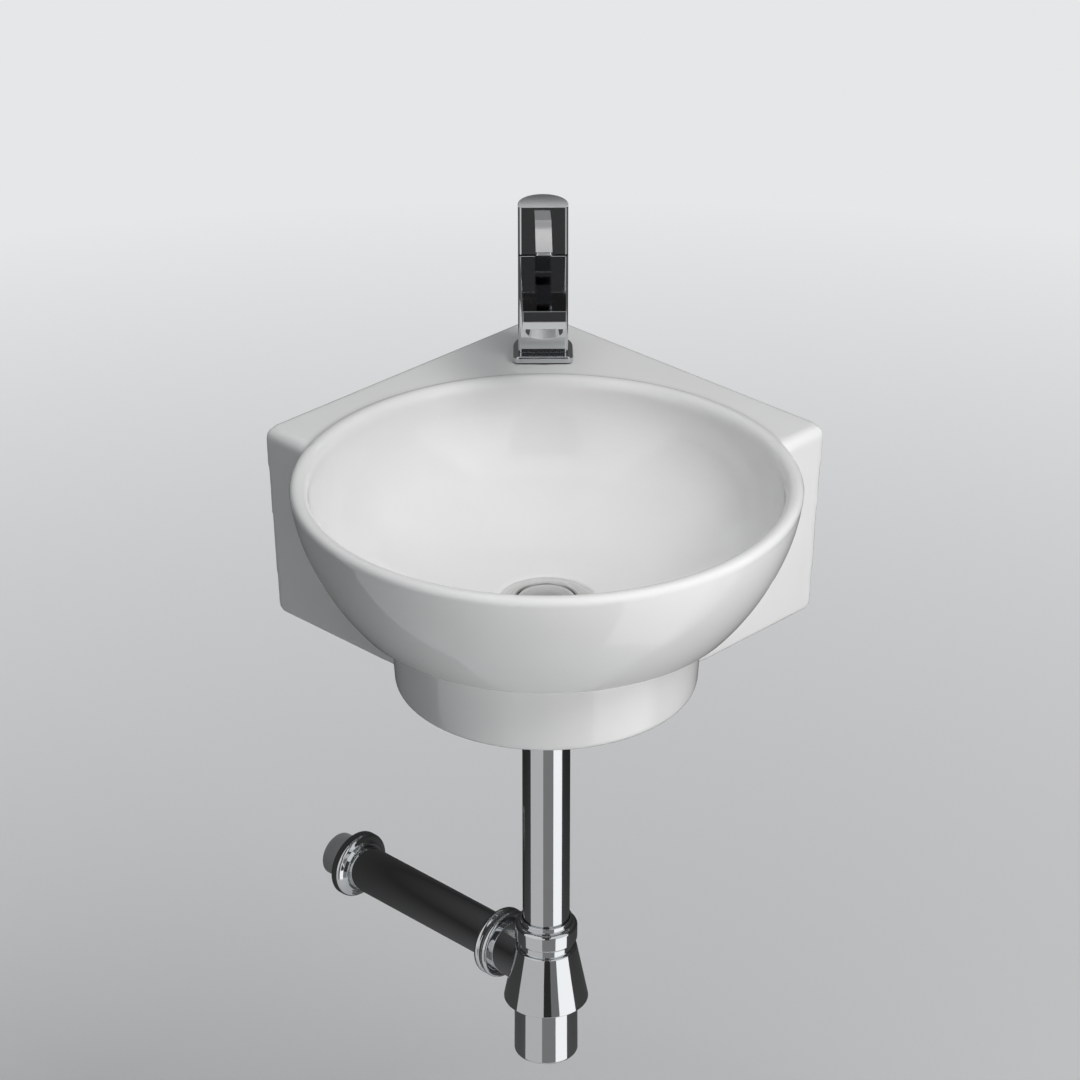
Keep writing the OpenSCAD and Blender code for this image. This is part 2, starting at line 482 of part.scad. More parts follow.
// Bottle trap
module trap_top_nut() color("silver") at_bowl() lathe(concat([[pipe_r + 0.3, tnut_z1], [pipe_r + 1.4, tnut_z1], [pipe_r + 1.8, tnut_z1 - 0.5], [pipe_r + 1.8, tnut_z1 - 3.6]],
  arc(neck_r + 0.4, tnut_z1 - 6.4, 2.4, 90, 0, 4), arc(neck_r + 0.9, tnut_z0 + 1.8, 1.8, 0, -90, 4),
  [[neck_r + play, tnut_z0], [neck_r + play, tnut_shoulder], [pipe_r + 0.3, tnut_shoulder]]));
module trap_top_seal() color("dimgray") at_bowl() ring(neck_r - 0.1, pipe_r + 0.05, neck_z1, tnut_shoulder);
wall_in = 2.5;
module trap_body() color("silver") difference() {
  union() {
    at_bowl() lathe([[0, neck_z1], [neck_r, neck_z1], [neck_r, tnut_z0 - 0.1], [neck_r + 0.5, tnut_z0 - 0.3], [neck_r + 0.5, bell_z1 + 0.6], [bell_top_r - 0.8, bell_z1], [bell_top_r, bell_z1 - 0.8],
      [bell_r, bell_z0 + 1], [bell_r - 0.6, bell_z0], [0, bell_z0]]);
    outlet_axis() cylinder(r = branch_r, h = branch_l);
  }
  at_bowl() lathe([[0, neck_z1 + 5], [pipe_r + 0.1, neck_z1 + 5], [pipe_r + 0.1, neck_floor], [dip_r + 0.1, neck_floor], [dip_r + 0.1, bell_z1 - 1], [bell_top_r - wall_in, bell_z1 - 2],
    [bell_r - wall_in - 0.6, bell_z0 + 3], [cup_thread_r + 2.4, bell_z0 + 3], [cup_thread_r + 2.4, bell_z0 + 12], [cup_thread_r + 0.06, bell_z0 + 12], [cup_thread_r + 0.06, bell_z0 - 5], [0, bell_z0 - 5]]);
  outlet_axis() translate([0, 0, dip_r + 4]) cylinder(r = 13.5, h = 60);
  outlet_axis() translate([0, 0, branch_l - 8]) cylinder(r = pipe_r + 0.2, h = 60);
}
module dip_tube() color("whitesmoke") at_bowl() lathe([[dip_r - 1.2, neck_floor + 1.5], [pipe_r, neck_floor + 1.5], [pipe_r, neck_floor], [dip_r, neck_floor], [dip_r, cup_z0 + 11], [dip_r - 1.2, cup_z0 + 11]]);
module trap_cup() color("silver") at_bowl() lathe(concat([[0, cup_z0 + 3.2], [cup_in - 2, cup_z0 + 3.2], [cup_in, cup_z0 + 5.2], [cup_in, bell_z0 + 11], [cup_thread_r - 0.8, bell_z0 + 11], [cup_thread_r, bell_z0 + 10.2],
  [cup_thread_r, cup_top - 0.3], [cup_r - 0.8, cup_top - 0.3], [cup_r - 0.4, cup_top - 0.8]], arc(cup_r + 0.3 - 2, cup_z0 + 2, 2, 0, -90, 4), [[0, cup_z0]]));
module cup_seal() color("dimgray") at_bowl() ring(cup_r - 0.9, cup_thread_r + 0.02, cup_top - 0.3, bell_z0 - 0.3);

// Outlet: ring nut, seal, pipe and wall flange, along the outlet's axis
module outlet_nut() color("silver") outlet_axis() lathe(concat([[branch_r + play, branch_l - 8], [onut_r - 2.6, branch_l - 8]], arc(onut_r - 2.4, branch_l - 5.6, 2.4, -90, 60, 5), [[onut_r - 1.6, branch_l - 2.4]],
  arc(onut_r - 2.4, branch_l + 0.8, 2.4, -50, 90, 5), [[branch_r - 1.4, branch_l + 3.8], [pipe_r + 0.3, branch_l + 3.8], [pipe_r + 0.3, branch_l + 1.6], [branch_r + play, branch_l + 1.6]]));
module outlet_seal() color("dimgray") outlet_axis() ring(branch_r - 0.1, pipe_r + 0.05, branch_l, branch_l + 1.6);
module outlet_pipe() color("silver") outlet_axis() lathe([[pipe_in, branch_l - 7.8], [pipe_r, branch_l - 7.8], [pipe_r, axis_w - 0.4], [spigot_r, axis_w],
  [spigot_r, axis_w + pipe_embed], [pipe_in, axis_w + pipe_embed]]);
module wall_flange() color("silver") outlet_axis() lathe(concat([[pipe_r + 0.06, axis_w - 9], [pipe_r + 0.6, axis_w - 9.6], [pipe_r + 1.6, axis_w - 9.6], [pipe_r + 2.6, axis_w - 8.4], [wf_r - 3.2, axis_w - 6.6]],
  arc(wf_r - 3, axis_w - 3.6, 3, -90, 0, 4), [[wf_r, axis_w - 0.3], [wf_r - 1.3, axis_w - 0.3], [wf_r - 1.3, axis_w - 3.4], [wf_r - 3.4, axis_w - 5.4], [pipe_r + 2.4, axis_w - 6.6], [pipe_r + 0.06, axis_w - 6.6]]));

basin();
wall_studs();
stud_sleeves();
stud_washers();
stud_nuts();
tap_base_seal();
tap_base_plate();
tap_body();
tap_cartridge();
cartridge_nut();
stem_carrier();
carrier_pin();
lever_stem();
lever_cap();
lever_screw();
aerator_ring();
aerator_insert();
aerator_seal();
tap_stud();
tap_rubber_shoe();
tap_metal_shoe();
tap_stud_nut();
waste_body();
waste_top_seal();
waste_cone_seal();
waste_slip_ring();
waste_backnut();
click_guide();
waste_plug();
plug_seal();
coupling_nut();
coupling_washer();
downpipe();
trap_top_nut();
trap_top_seal();
trap_body();
dip_tube();
trap_cup();
cup_seal();
outlet_nut();
outlet_seal();
outlet_pipe();
wall_flange();
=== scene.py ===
import json
import math

import bmesh
import bpy
from mathutils import Matrix, Vector, kdtree


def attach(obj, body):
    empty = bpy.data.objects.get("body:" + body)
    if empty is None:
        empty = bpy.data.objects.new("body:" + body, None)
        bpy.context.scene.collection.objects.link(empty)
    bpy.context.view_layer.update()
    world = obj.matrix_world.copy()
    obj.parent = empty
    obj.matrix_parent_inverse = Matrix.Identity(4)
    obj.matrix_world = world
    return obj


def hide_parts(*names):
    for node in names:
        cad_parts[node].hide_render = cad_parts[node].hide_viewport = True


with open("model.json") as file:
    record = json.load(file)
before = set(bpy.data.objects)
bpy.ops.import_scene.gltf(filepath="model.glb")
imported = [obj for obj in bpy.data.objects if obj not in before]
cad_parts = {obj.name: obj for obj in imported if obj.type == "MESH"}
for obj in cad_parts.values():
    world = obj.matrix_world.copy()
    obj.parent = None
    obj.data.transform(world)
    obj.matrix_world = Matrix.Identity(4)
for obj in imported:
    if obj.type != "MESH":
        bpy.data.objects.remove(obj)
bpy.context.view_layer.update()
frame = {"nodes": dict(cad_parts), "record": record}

# Corner wall-hung washbasin: visible pieces modelled here, the rest dressed CAD nodes.
# Lengths in this script are millimetres, and mm() turns them into Blender's metres.
NODES = frame["nodes"]
MM = 0.001
TAU = math.tau

# Sizes repeated from the part's source
BASIN_W, APRON_H, BOWL_D, BOWL_GAP, RIM_RISE, LIP_W = 370, 138, 330, 24.5, 3, 12
FLOOR_Z, SHOULDER_Z, SHOULDER_D, PLINTH_D, PLINTH_DROP = 86, 80, 260, 205, 4
SHELF_T, SKIRT_T, FACE_T, SHELL_T, DRAFT = 13, 11, 10, 13, 2.5
EDGE_R, TOP_EDGE_R, SHOULDER_EDGE_R, STEP_R = 4, 8, 6, 4.5
FIX_ALONG, FIX_Z, STUD_R = 200, 62, 5
LEG = BASIN_W / math.sqrt(2)
BOWL_R = BOWL_D / 2
AXIS_W = BOWL_R + BOWL_GAP
BOWL_Y = -AXIS_W * math.sqrt(2)
TAP_Y = BOWL_Y + BOWL_R + 37
PLINTH_R, PLINTH_Z = PLINTH_D / 2, APRON_H + PLINTH_DROP
PLINTH_IN = PLINTH_R - SHELL_T - 1
SHOULDER_R, UNDER_Z = SHOULDER_D / 2, FLOOR_Z + SHELL_T
TAIL_R = 41.9 / 2
HOLE_R = TAIL_R + 2
RECESS_Z = -FLOOR_Z - 1.8
FLANGE_Z = RECESS_Z + 1.5
FLANGE_TOP = FLANGE_Z + 3.2
TAIL_Z = FLANGE_Z - 48
TRAP_NUT_TOP = TAIL_Z - 193
BELL_TOP = TRAP_NUT_TOP - 23
BELL_FOOT = BELL_TOP - 41.5
CUP_TOP = BELL_FOOT - 1
CUP_FOOT = CUP_TOP - 42.2
OUT_Z = BELL_TOP - 17
TAP_TOP = 77
CAP_Z0, CAP_Z1 = 77.6, 110
TAP_R = 17
WALL_TURN = Matrix.Rotation(math.radians(225), 4, "Z")


def mm(*values):
    """Millimetres to metres, as a vector for three values."""
    return Vector([v * MM for v in values]) if len(values) > 1 else values[0] * MM


def arc(cx, cz, r, start, end, steps):
    """Points on an arc, in degrees."""
    turn = [math.radians(start + (end - start) * i / steps) for i in range(steps + 1)]
    return [(cx + r * math.cos(a), cz + r * math.sin(a)) for a in turn]


def rounded(corners, steps=4):
    """A closed outline whose corners, given as (x, z) or (x, z, radius), are rounded."""
    points, n = [], len(corners)
    for i, corner in enumerate(corners):
        p = Vector(corner[:2])
        before, after = Vector(corners[i - 1][:2]) - p, Vector(corners[(i + 1) % n][:2]) - p
        radius = corner[2] if len(corner) > 2 else 0
        if not radius or before.length == 0 or after.length == 0:
            points.append(tuple(p))
            continue
        angle = before.angle(after)
        reach = min(radius / math.tan(angle / 2), before.length * 0.49, after.length * 0.49)
        r = reach * math.tan(angle / 2)
        a, b = p + before.normalized() * reach, p + after.normalized() * reach
        centre = p + (before.normalized() + after.normalized()).normalized() * (r / math.sin(angle / 2))
        u, v = a - centre, b - centre
        swing = u.angle_signed(v)
        for k in range(steps + 1):
            t = swing * k / steps
            c, s = math.cos(-t), math.sin(-t)
            points.append((centre.x + u.x * c - u.y * s, centre.y + u.x * s + u.y * c))
    return points


def only(piece):
    """Selects one piece and makes it the active one."""
    for o in list(bpy.context.selected_objects):
        o.select_set(False)
    piece.select_set(True)
    bpy.context.view_layer.objects.active = piece


def edit(piece, *steps):
    """Runs mesh operators on the whole of one piece in edit mode."""
    only(piece)
    bpy.ops.object.mode_set(mode="EDIT")
    bpy.ops.mesh.select_mode(type="VERT")
    bpy.ops.mesh.select_all(action="SELECT")
    for step in steps:
        step()
    bpy.ops.object.mode_set(mode="OBJECT")
    return piece


def outward():
    bpy.ops.mesh.normals_make_consistent(inside=False)


def everything():
    bpy.ops.mesh.select_all(action="SELECT")


def weld():
    bpy.ops.mesh.remove_doubles(threshold=2e-6)


def outline_mesh(name, points, edges, faces=()):
    """A new piece from bare points, edges and faces, in millimetres."""
    mesh = bpy.data.meshes.new(name)
    mesh.from_pydata([mm(*p) for p in points], edges, faces)
    piece = bpy.data.objects.new(name, mesh)
    bpy.context.scene.collection.objects.link(piece)
    return piece


def spun(name, outline, steps=96, centre=(0, 0)):
    """Spins a closed outline of (radius, height) about an upright axis."""
    n = len(outline)
    solid = outline[0][0] == 0 and outline[-1][0] == 0
    edges = [(i, (i + 1) % n) for i in range(n - solid)]
    piece = outline_mesh(name, [(centre[0] + r, centre[1], z) for r, z in outline], edges)

    def spin():
        bpy.ops.mesh.spin(steps=steps, angle=TAU, center=mm(centre[0], centre[1], 0), axis=(0, 0, 1))

    return edit(piece, spin, everything, weld, outward)


def pulled(name, outline, plane, start, end):
    """Extrudes a closed outline. plane is "xy", or "yz" for a side outline pulled along X."""
    n = len(outline)
    place = {"xy": lambda a, b: (a, b, start), "yz": lambda a, b: (start, a, b)}[plane]
    way = {"xy": (0, 0, end - start), "yz": (end - start, 0, 0)}[plane]
    piece = outline_mesh(name, [place(a, b) for a, b in outline], [], [list(range(n))])

    def extrude():
        bpy.ops.mesh.extrude_region_move(TRANSFORM_OT_translate={"value": mm(*way)})

    return edit(piece, extrude, everything, outward)


def modify(piece, kind, **settings):
    """Adds a modifier and applies it."""
    only(piece)
    modifier = piece.modifiers.new(kind.lower(), kind)
    for key, value in settings.items():
        setattr(modifier, key, value)
    bpy.ops.object.modifier_apply(modifier=modifier.name)
    return piece


def cut(piece, tool, operation="DIFFERENCE"):
    """Boolean with a tool piece, which is used up."""
    modify(piece, "BOOLEAN", object=tool, operation=operation, solver="EXACT")
    bpy.data.objects.remove(tool)
    return piece


def join(piece, tool):
    return cut(piece, tool, "UNION")


def shaped(piece, matrix, flip=False):
    """Moves the mesh of a piece, so that its object stays at the origin."""
    piece.data.transform(matrix)
    if flip:
        piece.data.flip_normals()
    return piece


def at(x, y, z):
    return Matrix.Translation(mm(x, y, z))


def rod(name, radius, z0, z1, x=0.0, y=0.0, sides=64):
    """A plain round or six-sided blank, to cut with or to shape further."""
    bpy.ops.mesh.primitive_cylinder_add(
        vertices=sides, radius=mm(radius), depth=mm(z1 - z0), location=mm(x, y, (z0 + z1) / 2))
    piece = bpy.context.object
    piece.name = name
    bpy.ops.object.transform_apply(location=True, rotation=True, scale=True)
    return piece


def bevel_where(piece, test, width, segments):
    """Bevels the edges whose two ends, in millimetres, pass a test."""
    only(piece)
    bpy.ops.object.mode_set(mode="EDIT")
    bpy.ops.mesh.select_mode(type="EDGE")
    bpy.ops.mesh.select_all(action="DESELECT")
    bm = bmesh.from_edit_mesh(piece.data)
    for e in bm.edges:
        e.select = bool(test(e.verts[0].co / MM, e.verts[1].co / MM))
    bm.select_flush_mode()
    bmesh.update_edit_mesh(piece.data)
    bpy.ops.mesh.bevel(offset=mm(width), segments=segments, affect="EDGES")
    bpy.ops.object.mode_set(mode="OBJECT")
    return piece


def broken_edges(piece, width, segments=3, angle=32):
    """Breaks every edge sharper than an angle, as a real part's edges are."""
    return modify(piece, "BEVEL", width=mm(width), segments=segments, limit_method="ANGLE",
                  angle_limit=math.radians(angle), use_clamp_overlap=True)


def smooth(piece, angle=32):
    only(piece)
    bpy.ops.object.shade_smooth_by_angle(angle=math.radians(angle))
    return piece


# Colours and nodes

def linear(code):
    """An sRGB hex colour as a linear RGBA value."""
    parts = [int(code[i:i + 2], 16) / 255 for i in (1, 3, 5)]
    return [c / 12.92 if c <= 0.04045 else ((c + 0.055) / 1.055) ** 2.4 for c in parts] + [1.0]


def add(tree, kind, links=None, **settings):
    """Adds a node. Settings name its properties or sockets, links give sockets to connect."""
    node = tree.nodes.new(kind)
    for key, value in settings.items():
        if hasattr(node, key):
            setattr(node, key, value)
        else:
            node.inputs[key.replace("_", " ")].default_value = value
    for socket, source in (links or {}).items():
        tree.links.new(source, node.inputs[socket])
    return node


def material(name, colour, rough, metal=0.0, ior=1.5, **sockets):
    """A material with its shader, and the object's own coordinates to drive patterns."""
    mat = bpy.data.materials.new(name)
    mat.use_nodes = True
    tree = mat.node_tree
    shader = tree.nodes["Principled BSDF"]
    shader.inputs["Base Color"].default_value = linear(colour)
    shader.inputs["Roughness"].default_value = rough
    shader.inputs["Metallic"].default_value = metal
    shader.inputs["IOR"].default_value = ior
    for key, value in sockets.items():
        shader.inputs[key.replace("_", " ")].default_value = value
    coords = add(tree, "ShaderNodeTexCoord")
    return mat, tree, shader, coords.outputs["Object"]


def blend_colours(tree, factor, a, b):
    mix = add(tree, "ShaderNodeMix", data_type="RGBA")
    tree.links.new(factor, mix.inputs[0])
    mix.inputs[6].default_value = linear(a)
    mix.inputs[7].default_value = linear(b)
    return mix.outputs[2]


def spread(tree, value, low, high, out_low, out_high):
    """Maps a value range to another one."""
    node = add(tree, "ShaderNodeMapRange", {0: value})
    for i, v in zip((1, 2, 3, 4), (low, high, out_low, out_high)):
        node.inputs[i].default_value = v
    return node.outputs[0]


def maths(tree, operation, a, b=0.0):
    """A Math node on two values, each a socket or a number."""
    node = add(tree, "ShaderNodeMath", operation=operation)
    for i, v in enumerate((a, b)):
        if isinstance(v, float):
            node.inputs[i].default_value = v
        else:
            tree.links.new(v, node.inputs[i])
    return node.outputs[0]


def glazed_china():
    # Vitreous china under a fired white glaze: IOR 1.52, nearly mirror smooth, with the faint
    # slow waves of a poured glaze, and bare sanded body on the wall faces and the foot
    mat, tree, shader, where = material("glazed_vitreous_china", "#F2F2F0", 0.06, ior=1.52)
    spot = add(tree, "ShaderNodeSeparateXYZ", {0: where}).outputs
    across = maths(tree, "ABSOLUTE", spot["X"])
    to_wall = maths(tree, "ADD", maths(tree, "MULTIPLY", spot["Y"], -1.0), maths(tree, "MULTIPLY", across, -1.0))
    at_wall, at_foot = spread(tree, to_wall, 0.0006, 0.0012, 1, 0), spread(tree, spot["Z"], -0.1416, -0.1412, 1, 0)
    bare = maths(tree, "MAXIMUM", at_wall, at_foot)
    slow = add(tree, "ShaderNodeTexNoise", {"Vector": where}, Scale=16.0, Detail=2.0, Roughness=0.4)
    glaze = blend_colours(tree, slow.outputs["Fac"], "#F0F0EE", "#F5F5F4")
    grit = add(tree, "ShaderNodeTexNoise", {"Vector": where}, Scale=700.0, Detail=3.0, Roughness=0.7)
    body = blend_colours(tree, grit.outputs["Fac"], "#CFC8BA", "#DDD6C9")
    mix = add(tree, "ShaderNodeMix", {0: bare, 6: glaze, 7: body}, data_type="RGBA")
    tree.links.new(mix.outputs[2], shader.inputs["Base Color"])
    tree.links.new(spread(tree, bare, 0, 1, 0.06, 0.8), shader.inputs["Roughness"])
    wave = add(tree, "ShaderNodeTexNoise", {"Vector": where}, Scale=32.0, Detail=1.0, Roughness=0.3)
    ripple = add(tree, "ShaderNodeBump", {"Height": wave.outputs["Fac"]}, Strength=0.35, Distance=0.00012)
    links = {"Height": grit.outputs["Fac"], "Normal": ripple.outputs["Normal"], "Strength": bare}
    rough = add(tree, "ShaderNodeBump", links, Distance=0.0001)
    tree.links.new(rough.outputs["Normal"], shader.inputs["Normal"])
    return mat


def polished_chrome():
    # Bright chrome plate over polished brass: metal, mirror smooth, with faint wiping haze
    mat, tree, shader, where = material("polished_chrome_plate", "#D3D5D7", 0.05, metal=1.0)
    haze = add(tree, "ShaderNodeTexNoise", {"Vector": where}, Scale=60.0, Detail=4.0, Roughness=0.6)
    tree.links.new(spread(tree, haze.outputs["Fac"], 0.35, 0.75, 0.03, 0.085), shader.inputs["Roughness"])
    return mat


def turned_satin():
    # Satin chrome plate over a turned brass disc: fine rings about the bowl's axis
    mat, tree, shader, where = material("satin_chrome_plate", "#E8E8E7", 0.24, metal=1.0)
    away = add(tree, "ShaderNodeVectorMath", {0: where}, operation="MULTIPLY_ADD")
    away.inputs[1].default_value, away.inputs[2].default_value = (1, 1, 0), (0, -BOWL_Y * MM, 0)
    radius = add(tree, "ShaderNodeVectorMath", {0: away.outputs[0]}, operation="LENGTH").outputs["Value"]
    rings = add(tree, "ShaderNodeTexNoise", {"W": radius}, noise_dimensions="1D",
                Scale=3200.0, Detail=2.0, Roughness=0.6)
    tree.links.new(blend_colours(tree, rings.outputs["Fac"], "#E2E2E1", "#EEEEED"), shader.inputs["Base Color"])
    tree.links.new(spread(tree, rings.outputs["Fac"], 0.3, 0.7, 0.19, 0.31), shader.inputs["Roughness"])
    groove = add(tree, "ShaderNodeBump", {"Height": rings.outputs["Fac"]}, Strength=0.25, Distance=0.00003)
    tree.links.new(groove.outputs["Normal"], shader.inputs["Normal"])
    return mat


def simple_finish(name, colour, rough, metal=0.0, ior=1.5, second=None, scale=80.0, bump=0.0, depth=0.00005):
    mat, tree, shader, where = material(name, colour, rough, metal, ior)
    grain = add(tree, "ShaderNodeTexNoise", {"Vector": where}, Scale=scale, Detail=4.0, Roughness=0.6)
    if second:
        cloud = add(tree, "ShaderNodeTexNoise", {"Vector": where}, Scale=45.0, Detail=3.0, Roughness=0.5)
        both = maths(tree, "MULTIPLY", maths(tree, "ADD", cloud.outputs["Fac"], grain.outputs["Fac"]), 0.5)
        mottle = spread(tree, both, 0.35, 0.65, 0, 1)
        tree.links.new(blend_colours(tree, mottle, colour, second), shader.inputs["Base Color"])
    tree.links.new(spread(tree, grain.outputs["Fac"], 0.3, 0.7, rough * 0.85, rough * 1.2), shader.inputs["Roughness"])
    if bump:
        rise = add(tree, "ShaderNodeBump", {"Height": grain.outputs["Fac"]}, Strength=bump, Distance=depth)
        tree.links.new(rise.outputs["Normal"], shader.inputs["Normal"])
    return mat


FINISH = {
    "ceramic_glaze": glazed_china(),
    "chrome": polished_chrome(),
    "brushed_flange": turned_satin(),
    "brass": simple_finish("turned_brass", "#B08D55", 0.3, 1.0, second="#BF9C62"),
    "zinc_steel": simple_finish("zinc_plated_steel", "#9DA1A5", 0.34, 1.0, second="#ADB0B0"),
    "dark_steel": simple_finish("black_oxide_steel", "#232426", 0.45, 1.0, second="#2C2D2F"),
    "rubber": simple_finish("moulded_epdm_rubber", "#1B1B1C", 0.72, 0.0, 1.5, "#242425", 400.0, 0.3),
    "white_plastic": simple_finish("moulded_polypropylene", "#E6E6E1", 0.42, 0.0, 1.49, "#EBEBE7", 300.0, 0.15),
    "cartridge_plastic": simple_finish("moulded_acetal", "#8B8E8C", 0.38, 0.0, 1.48, "#949795", 300.0, 0.1),
}
for entry in frame["record"]["subparts"]:
    node = NODES[entry["node"]]
    node.data.materials.clear()
    node.data.materials.append(FINISH[entry["material_slot"]])


def dress(piece, body, slot, *nodes):
    """Gives a piece its finish, its body and the CAD nodes that it stands for."""
    piece.data.materials.clear()
    piece.data.materials.append(FINISH[slot])
    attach(piece, body)
    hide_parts(*nodes)
    return piece


# Basin: outlines of the bowl
OUT_N, IN_N, IN_R, ROLL_IN = 1.74, 2.1, BOWL_R - LIP_W, LIP_W * 0.62
ROLL_OUT, IN_TOP = LIP_W - ROLL_IN, RIM_RISE - ROLL_IN
OUT_H = (RIM_RISE + SHOULDER_Z) / (1 - (SHOULDER_R / BOWL_R) ** 2) ** (1 / OUT_N)


def bowl_outside(z):
    return BOWL_R * math.sqrt(1 - ((RIM_RISE - z) / OUT_H) ** OUT_N)


def bowl_inside(z):
    return IN_R * (1 - ((IN_TOP - z) / (FLOOR_Z + IN_TOP)) ** IN_N) ** (1 / IN_N)


def bowl_floor(r):
    return IN_TOP - (FLOOR_Z + IN_TOP) * (1 - min(r / IN_R, 1) ** IN_N) ** (1 / IN_N)


def bowl_blank():
    inner = [HOLE_R + (IN_R - HOLE_R) * math.sin(math.pi / 2 * i / 28) ** 0.9 for i in range(29)]
    outline = [(r, bowl_floor(r)) for r in inner]
    outline += arc(IN_R + ROLL_IN, RIM_RISE - ROLL_IN, ROLL_IN, 180, 90, 12)[1:]
    outline += arc(BOWL_R - ROLL_OUT, RIM_RISE - ROLL_OUT, ROLL_OUT, 90, 0, 9)
    top, step_z = RIM_RISE - ROLL_OUT, -SHOULDER_Z - 4
    outline += [(bowl_outside(z), z) for z in (top - (top + SHOULDER_Z) * i / 24 for i in range(1, 25))]
    slope = math.atan(bowl_outside(-SHOULDER_Z + 0.5) - bowl_outside(-SHOULDER_Z - 0.5))
    edge_z = step_z + SHOULDER_EDGE_R * (1 - math.sin(slope))
    outline += arc(bowl_outside(edge_z) - SHOULDER_EDGE_R * math.cos(slope), step_z + SHOULDER_EDGE_R,
                   SHOULDER_EDGE_R, -math.degrees(slope), -90, 8)
    outline += arc(PLINTH_R + STEP_R, step_z - STEP_R, STEP_R, 90, 180, 8)
    outline += arc(PLINTH_R - 8, -PLINTH_Z + 5, 5, 0, -90, 8)
    outline += [(PLINTH_IN, -PLINTH_Z), (PLINTH_IN - 2, -PLINTH_Z + 2)]
    under = [PLINTH_IN + 1 + (HOLE_R + 13 - PLINTH_IN) * i / 12 for i in range(13)]
    outline += [(r, bowl_floor(r) - SHELL_T) for r in under]
    return spun("bowl", outline + [(HOLE_R + 13, -UNDER_Z), (HOLE_R, -UNDER_Z)], 256, (0, BOWL_Y))


def bowl_void():
    steps = [-f * SHOULDER_Z for f in (0.07, 0.2, 0.35, 0.5, 0.65, 0.8, 0.9)]
    outline = [(0, 20), (BOWL_R - LIP_W / 2, 20)] + [((bowl_outside(z) + bowl_inside(z)) / 2, z) for z in steps]
    inset = PLINTH_R - SHELL_T / 2
    outline += [(PLINTH_R + 3, -SHOULDER_Z), (inset - 1, -SHOULDER_Z - 9)]
    outline += [(inset - 1.5, -PLINTH_Z - 40), (0, -PLINTH_Z - 40)]
    return spun("void", outline, 128, (0, BOWL_Y))


def drafted(name, side, top, bottom, low=0.0):
    """A block in the corner, whose two front faces lean back under the shelf."""
    lean = math.tan(math.radians(DRAFT))
    points = []
    for z in (top, bottom):
        far = side + z * lean
        points += [(low, low, z), (far, low, z), (far, far, z), (low, far, z)]
    faces = [(3, 2, 1, 0), (4, 5, 6, 7), (0, 1, 5, 4), (1, 2, 6, 5), (2, 3, 7, 6), (3, 0, 4, 7)]
    return edit(outline_mesh(name, points, [], faces), outward)


def front_edge(a, b):
    """True for the edges round the two front faces of the corner block."""
    return any(min(p, q) > 200 and abs(p - q) < 8 for p, q in ((a.x, b.x), (a.y, b.y)))


def top_front_edge(a, b):
    return front_edge(a, b) and min(a.z, b.z) > -0.01


def wall_foot_edge(a, b):
    """True for the two bottom edges that run along the walls."""
    return max(a.z, b.z) < -APRON_H + 0.1 and (max(a.x, b.x) < 0.1 or max(a.y, b.y) < 0.1)


def lower_front_edge(a, b):
    return front_edge(a, b) and min(a.z, b.z) < -20


def sharp_points(piece, angle, pitch):
    """Points along the sharp edges of a mesh."""
    bm = bmesh.new()
    bm.from_mesh(piece.data)
    points = []
    for e in bm.edges:
        if len(e.link_faces) == 2 and e.calc_face_angle(0) > math.radians(angle):
            a, b = e.verts[0].co, e.verts[1].co
            n = max(1, int((b - a).length / pitch))
            points += [a.lerp(b, i / n) for i in range(n + 1)]
    bm.free()
    return points


def make_basin():
    """Casts the body in one: corner block, hollow, bowl and holes, then soft glazed edges."""
    body = bevel_where(drafted("basin_body", LEG, 0, -APRON_H), wall_foot_edge, 6, 8)
    bevel_where(body, top_front_edge, TOP_EDGE_R, 8)
    bevel_where(body, lower_front_edge, EDGE_R, 6)
    hollow = drafted("hollow", LEG - FACE_T, -SHELF_T, -APRON_H - 20, SKIRT_T)
    shaped(body, WALL_TURN)
    cut(body, shaped(hollow, WALL_TURN))
    cut(body, bowl_void())
    join(body, bowl_blank())
    cut(body, rod("seat", 63 / 2 + 0.4, RECESS_Z, RECESS_Z + 6, 0, BOWL_Y, 96))
    cut(body, rod("drain", HOLE_R, -UNDER_Z - 5, -UNDER_Z + 25, 0, BOWL_Y, 96))
    cut(body, rod("tap_hole", 17.5, -SHELF_T - 5, 5, 0, TAP_Y, 96))
    for side in (1, -1):
        hole = rod("fixing", STUD_R + 2, -5, SKIRT_T + 10)
        shaped(hole, WALL_TURN @ at(FIX_ALONG, 0, -FIX_Z) @ Matrix.Rotation(math.radians(-90), 4, "X"))
        if side < 0:
            shaped(hole, Matrix.Scale(-1, 4, (1, 0, 0)), flip=True)
        cut(body, hole)
    # Soft edges: a fine remesh is relaxed near the sharp edges and laid back on the
    # true surface everywhere else
    edges = sharp_points(body, 22, 0.0015)
    tree = kdtree.KDTree(len(edges))
    for i, p in enumerate(edges):
        tree.insert(p, i)
    tree.balance()
    soft = body.copy()
    soft.data = body.data.copy()
    bpy.context.scene.collection.objects.link(soft)
    modify(soft, "REMESH", mode="VOXEL", voxel_size=mm(1.7))
    near, far = soft.vertex_groups.new(name="near"), soft.vertex_groups.new(name="far")
    for v in soft.data.vertices:
        away = min(1.0, max(0.0, (tree.find(v.co)[2] / MM - 5.5) / 3))
        near.add([v.index], 1 - away, "REPLACE")
        far.add([v.index], away, "REPLACE")
    modify(soft, "SHRINKWRAP", target=body, wrap_method="NEAREST_SURFACEPOINT")
    modify(soft, "SMOOTH", factor=0.5, iterations=12, vertex_group="near")
    modify(soft, "SHRINKWRAP", target=body, wrap_method="NEAREST_SURFACEPOINT", vertex_group="far")
    modify(soft, "DECIMATE", ratio=min(1.0, 92000 / len(soft.data.vertices)))
    bpy.data.objects.remove(body)
    soft.vertex_groups.clear()
    soft.name = "glazed_basin"
    return smooth(soft, 180)


dress(make_basin(), "fixture", "ceramic_glaze", "basin")


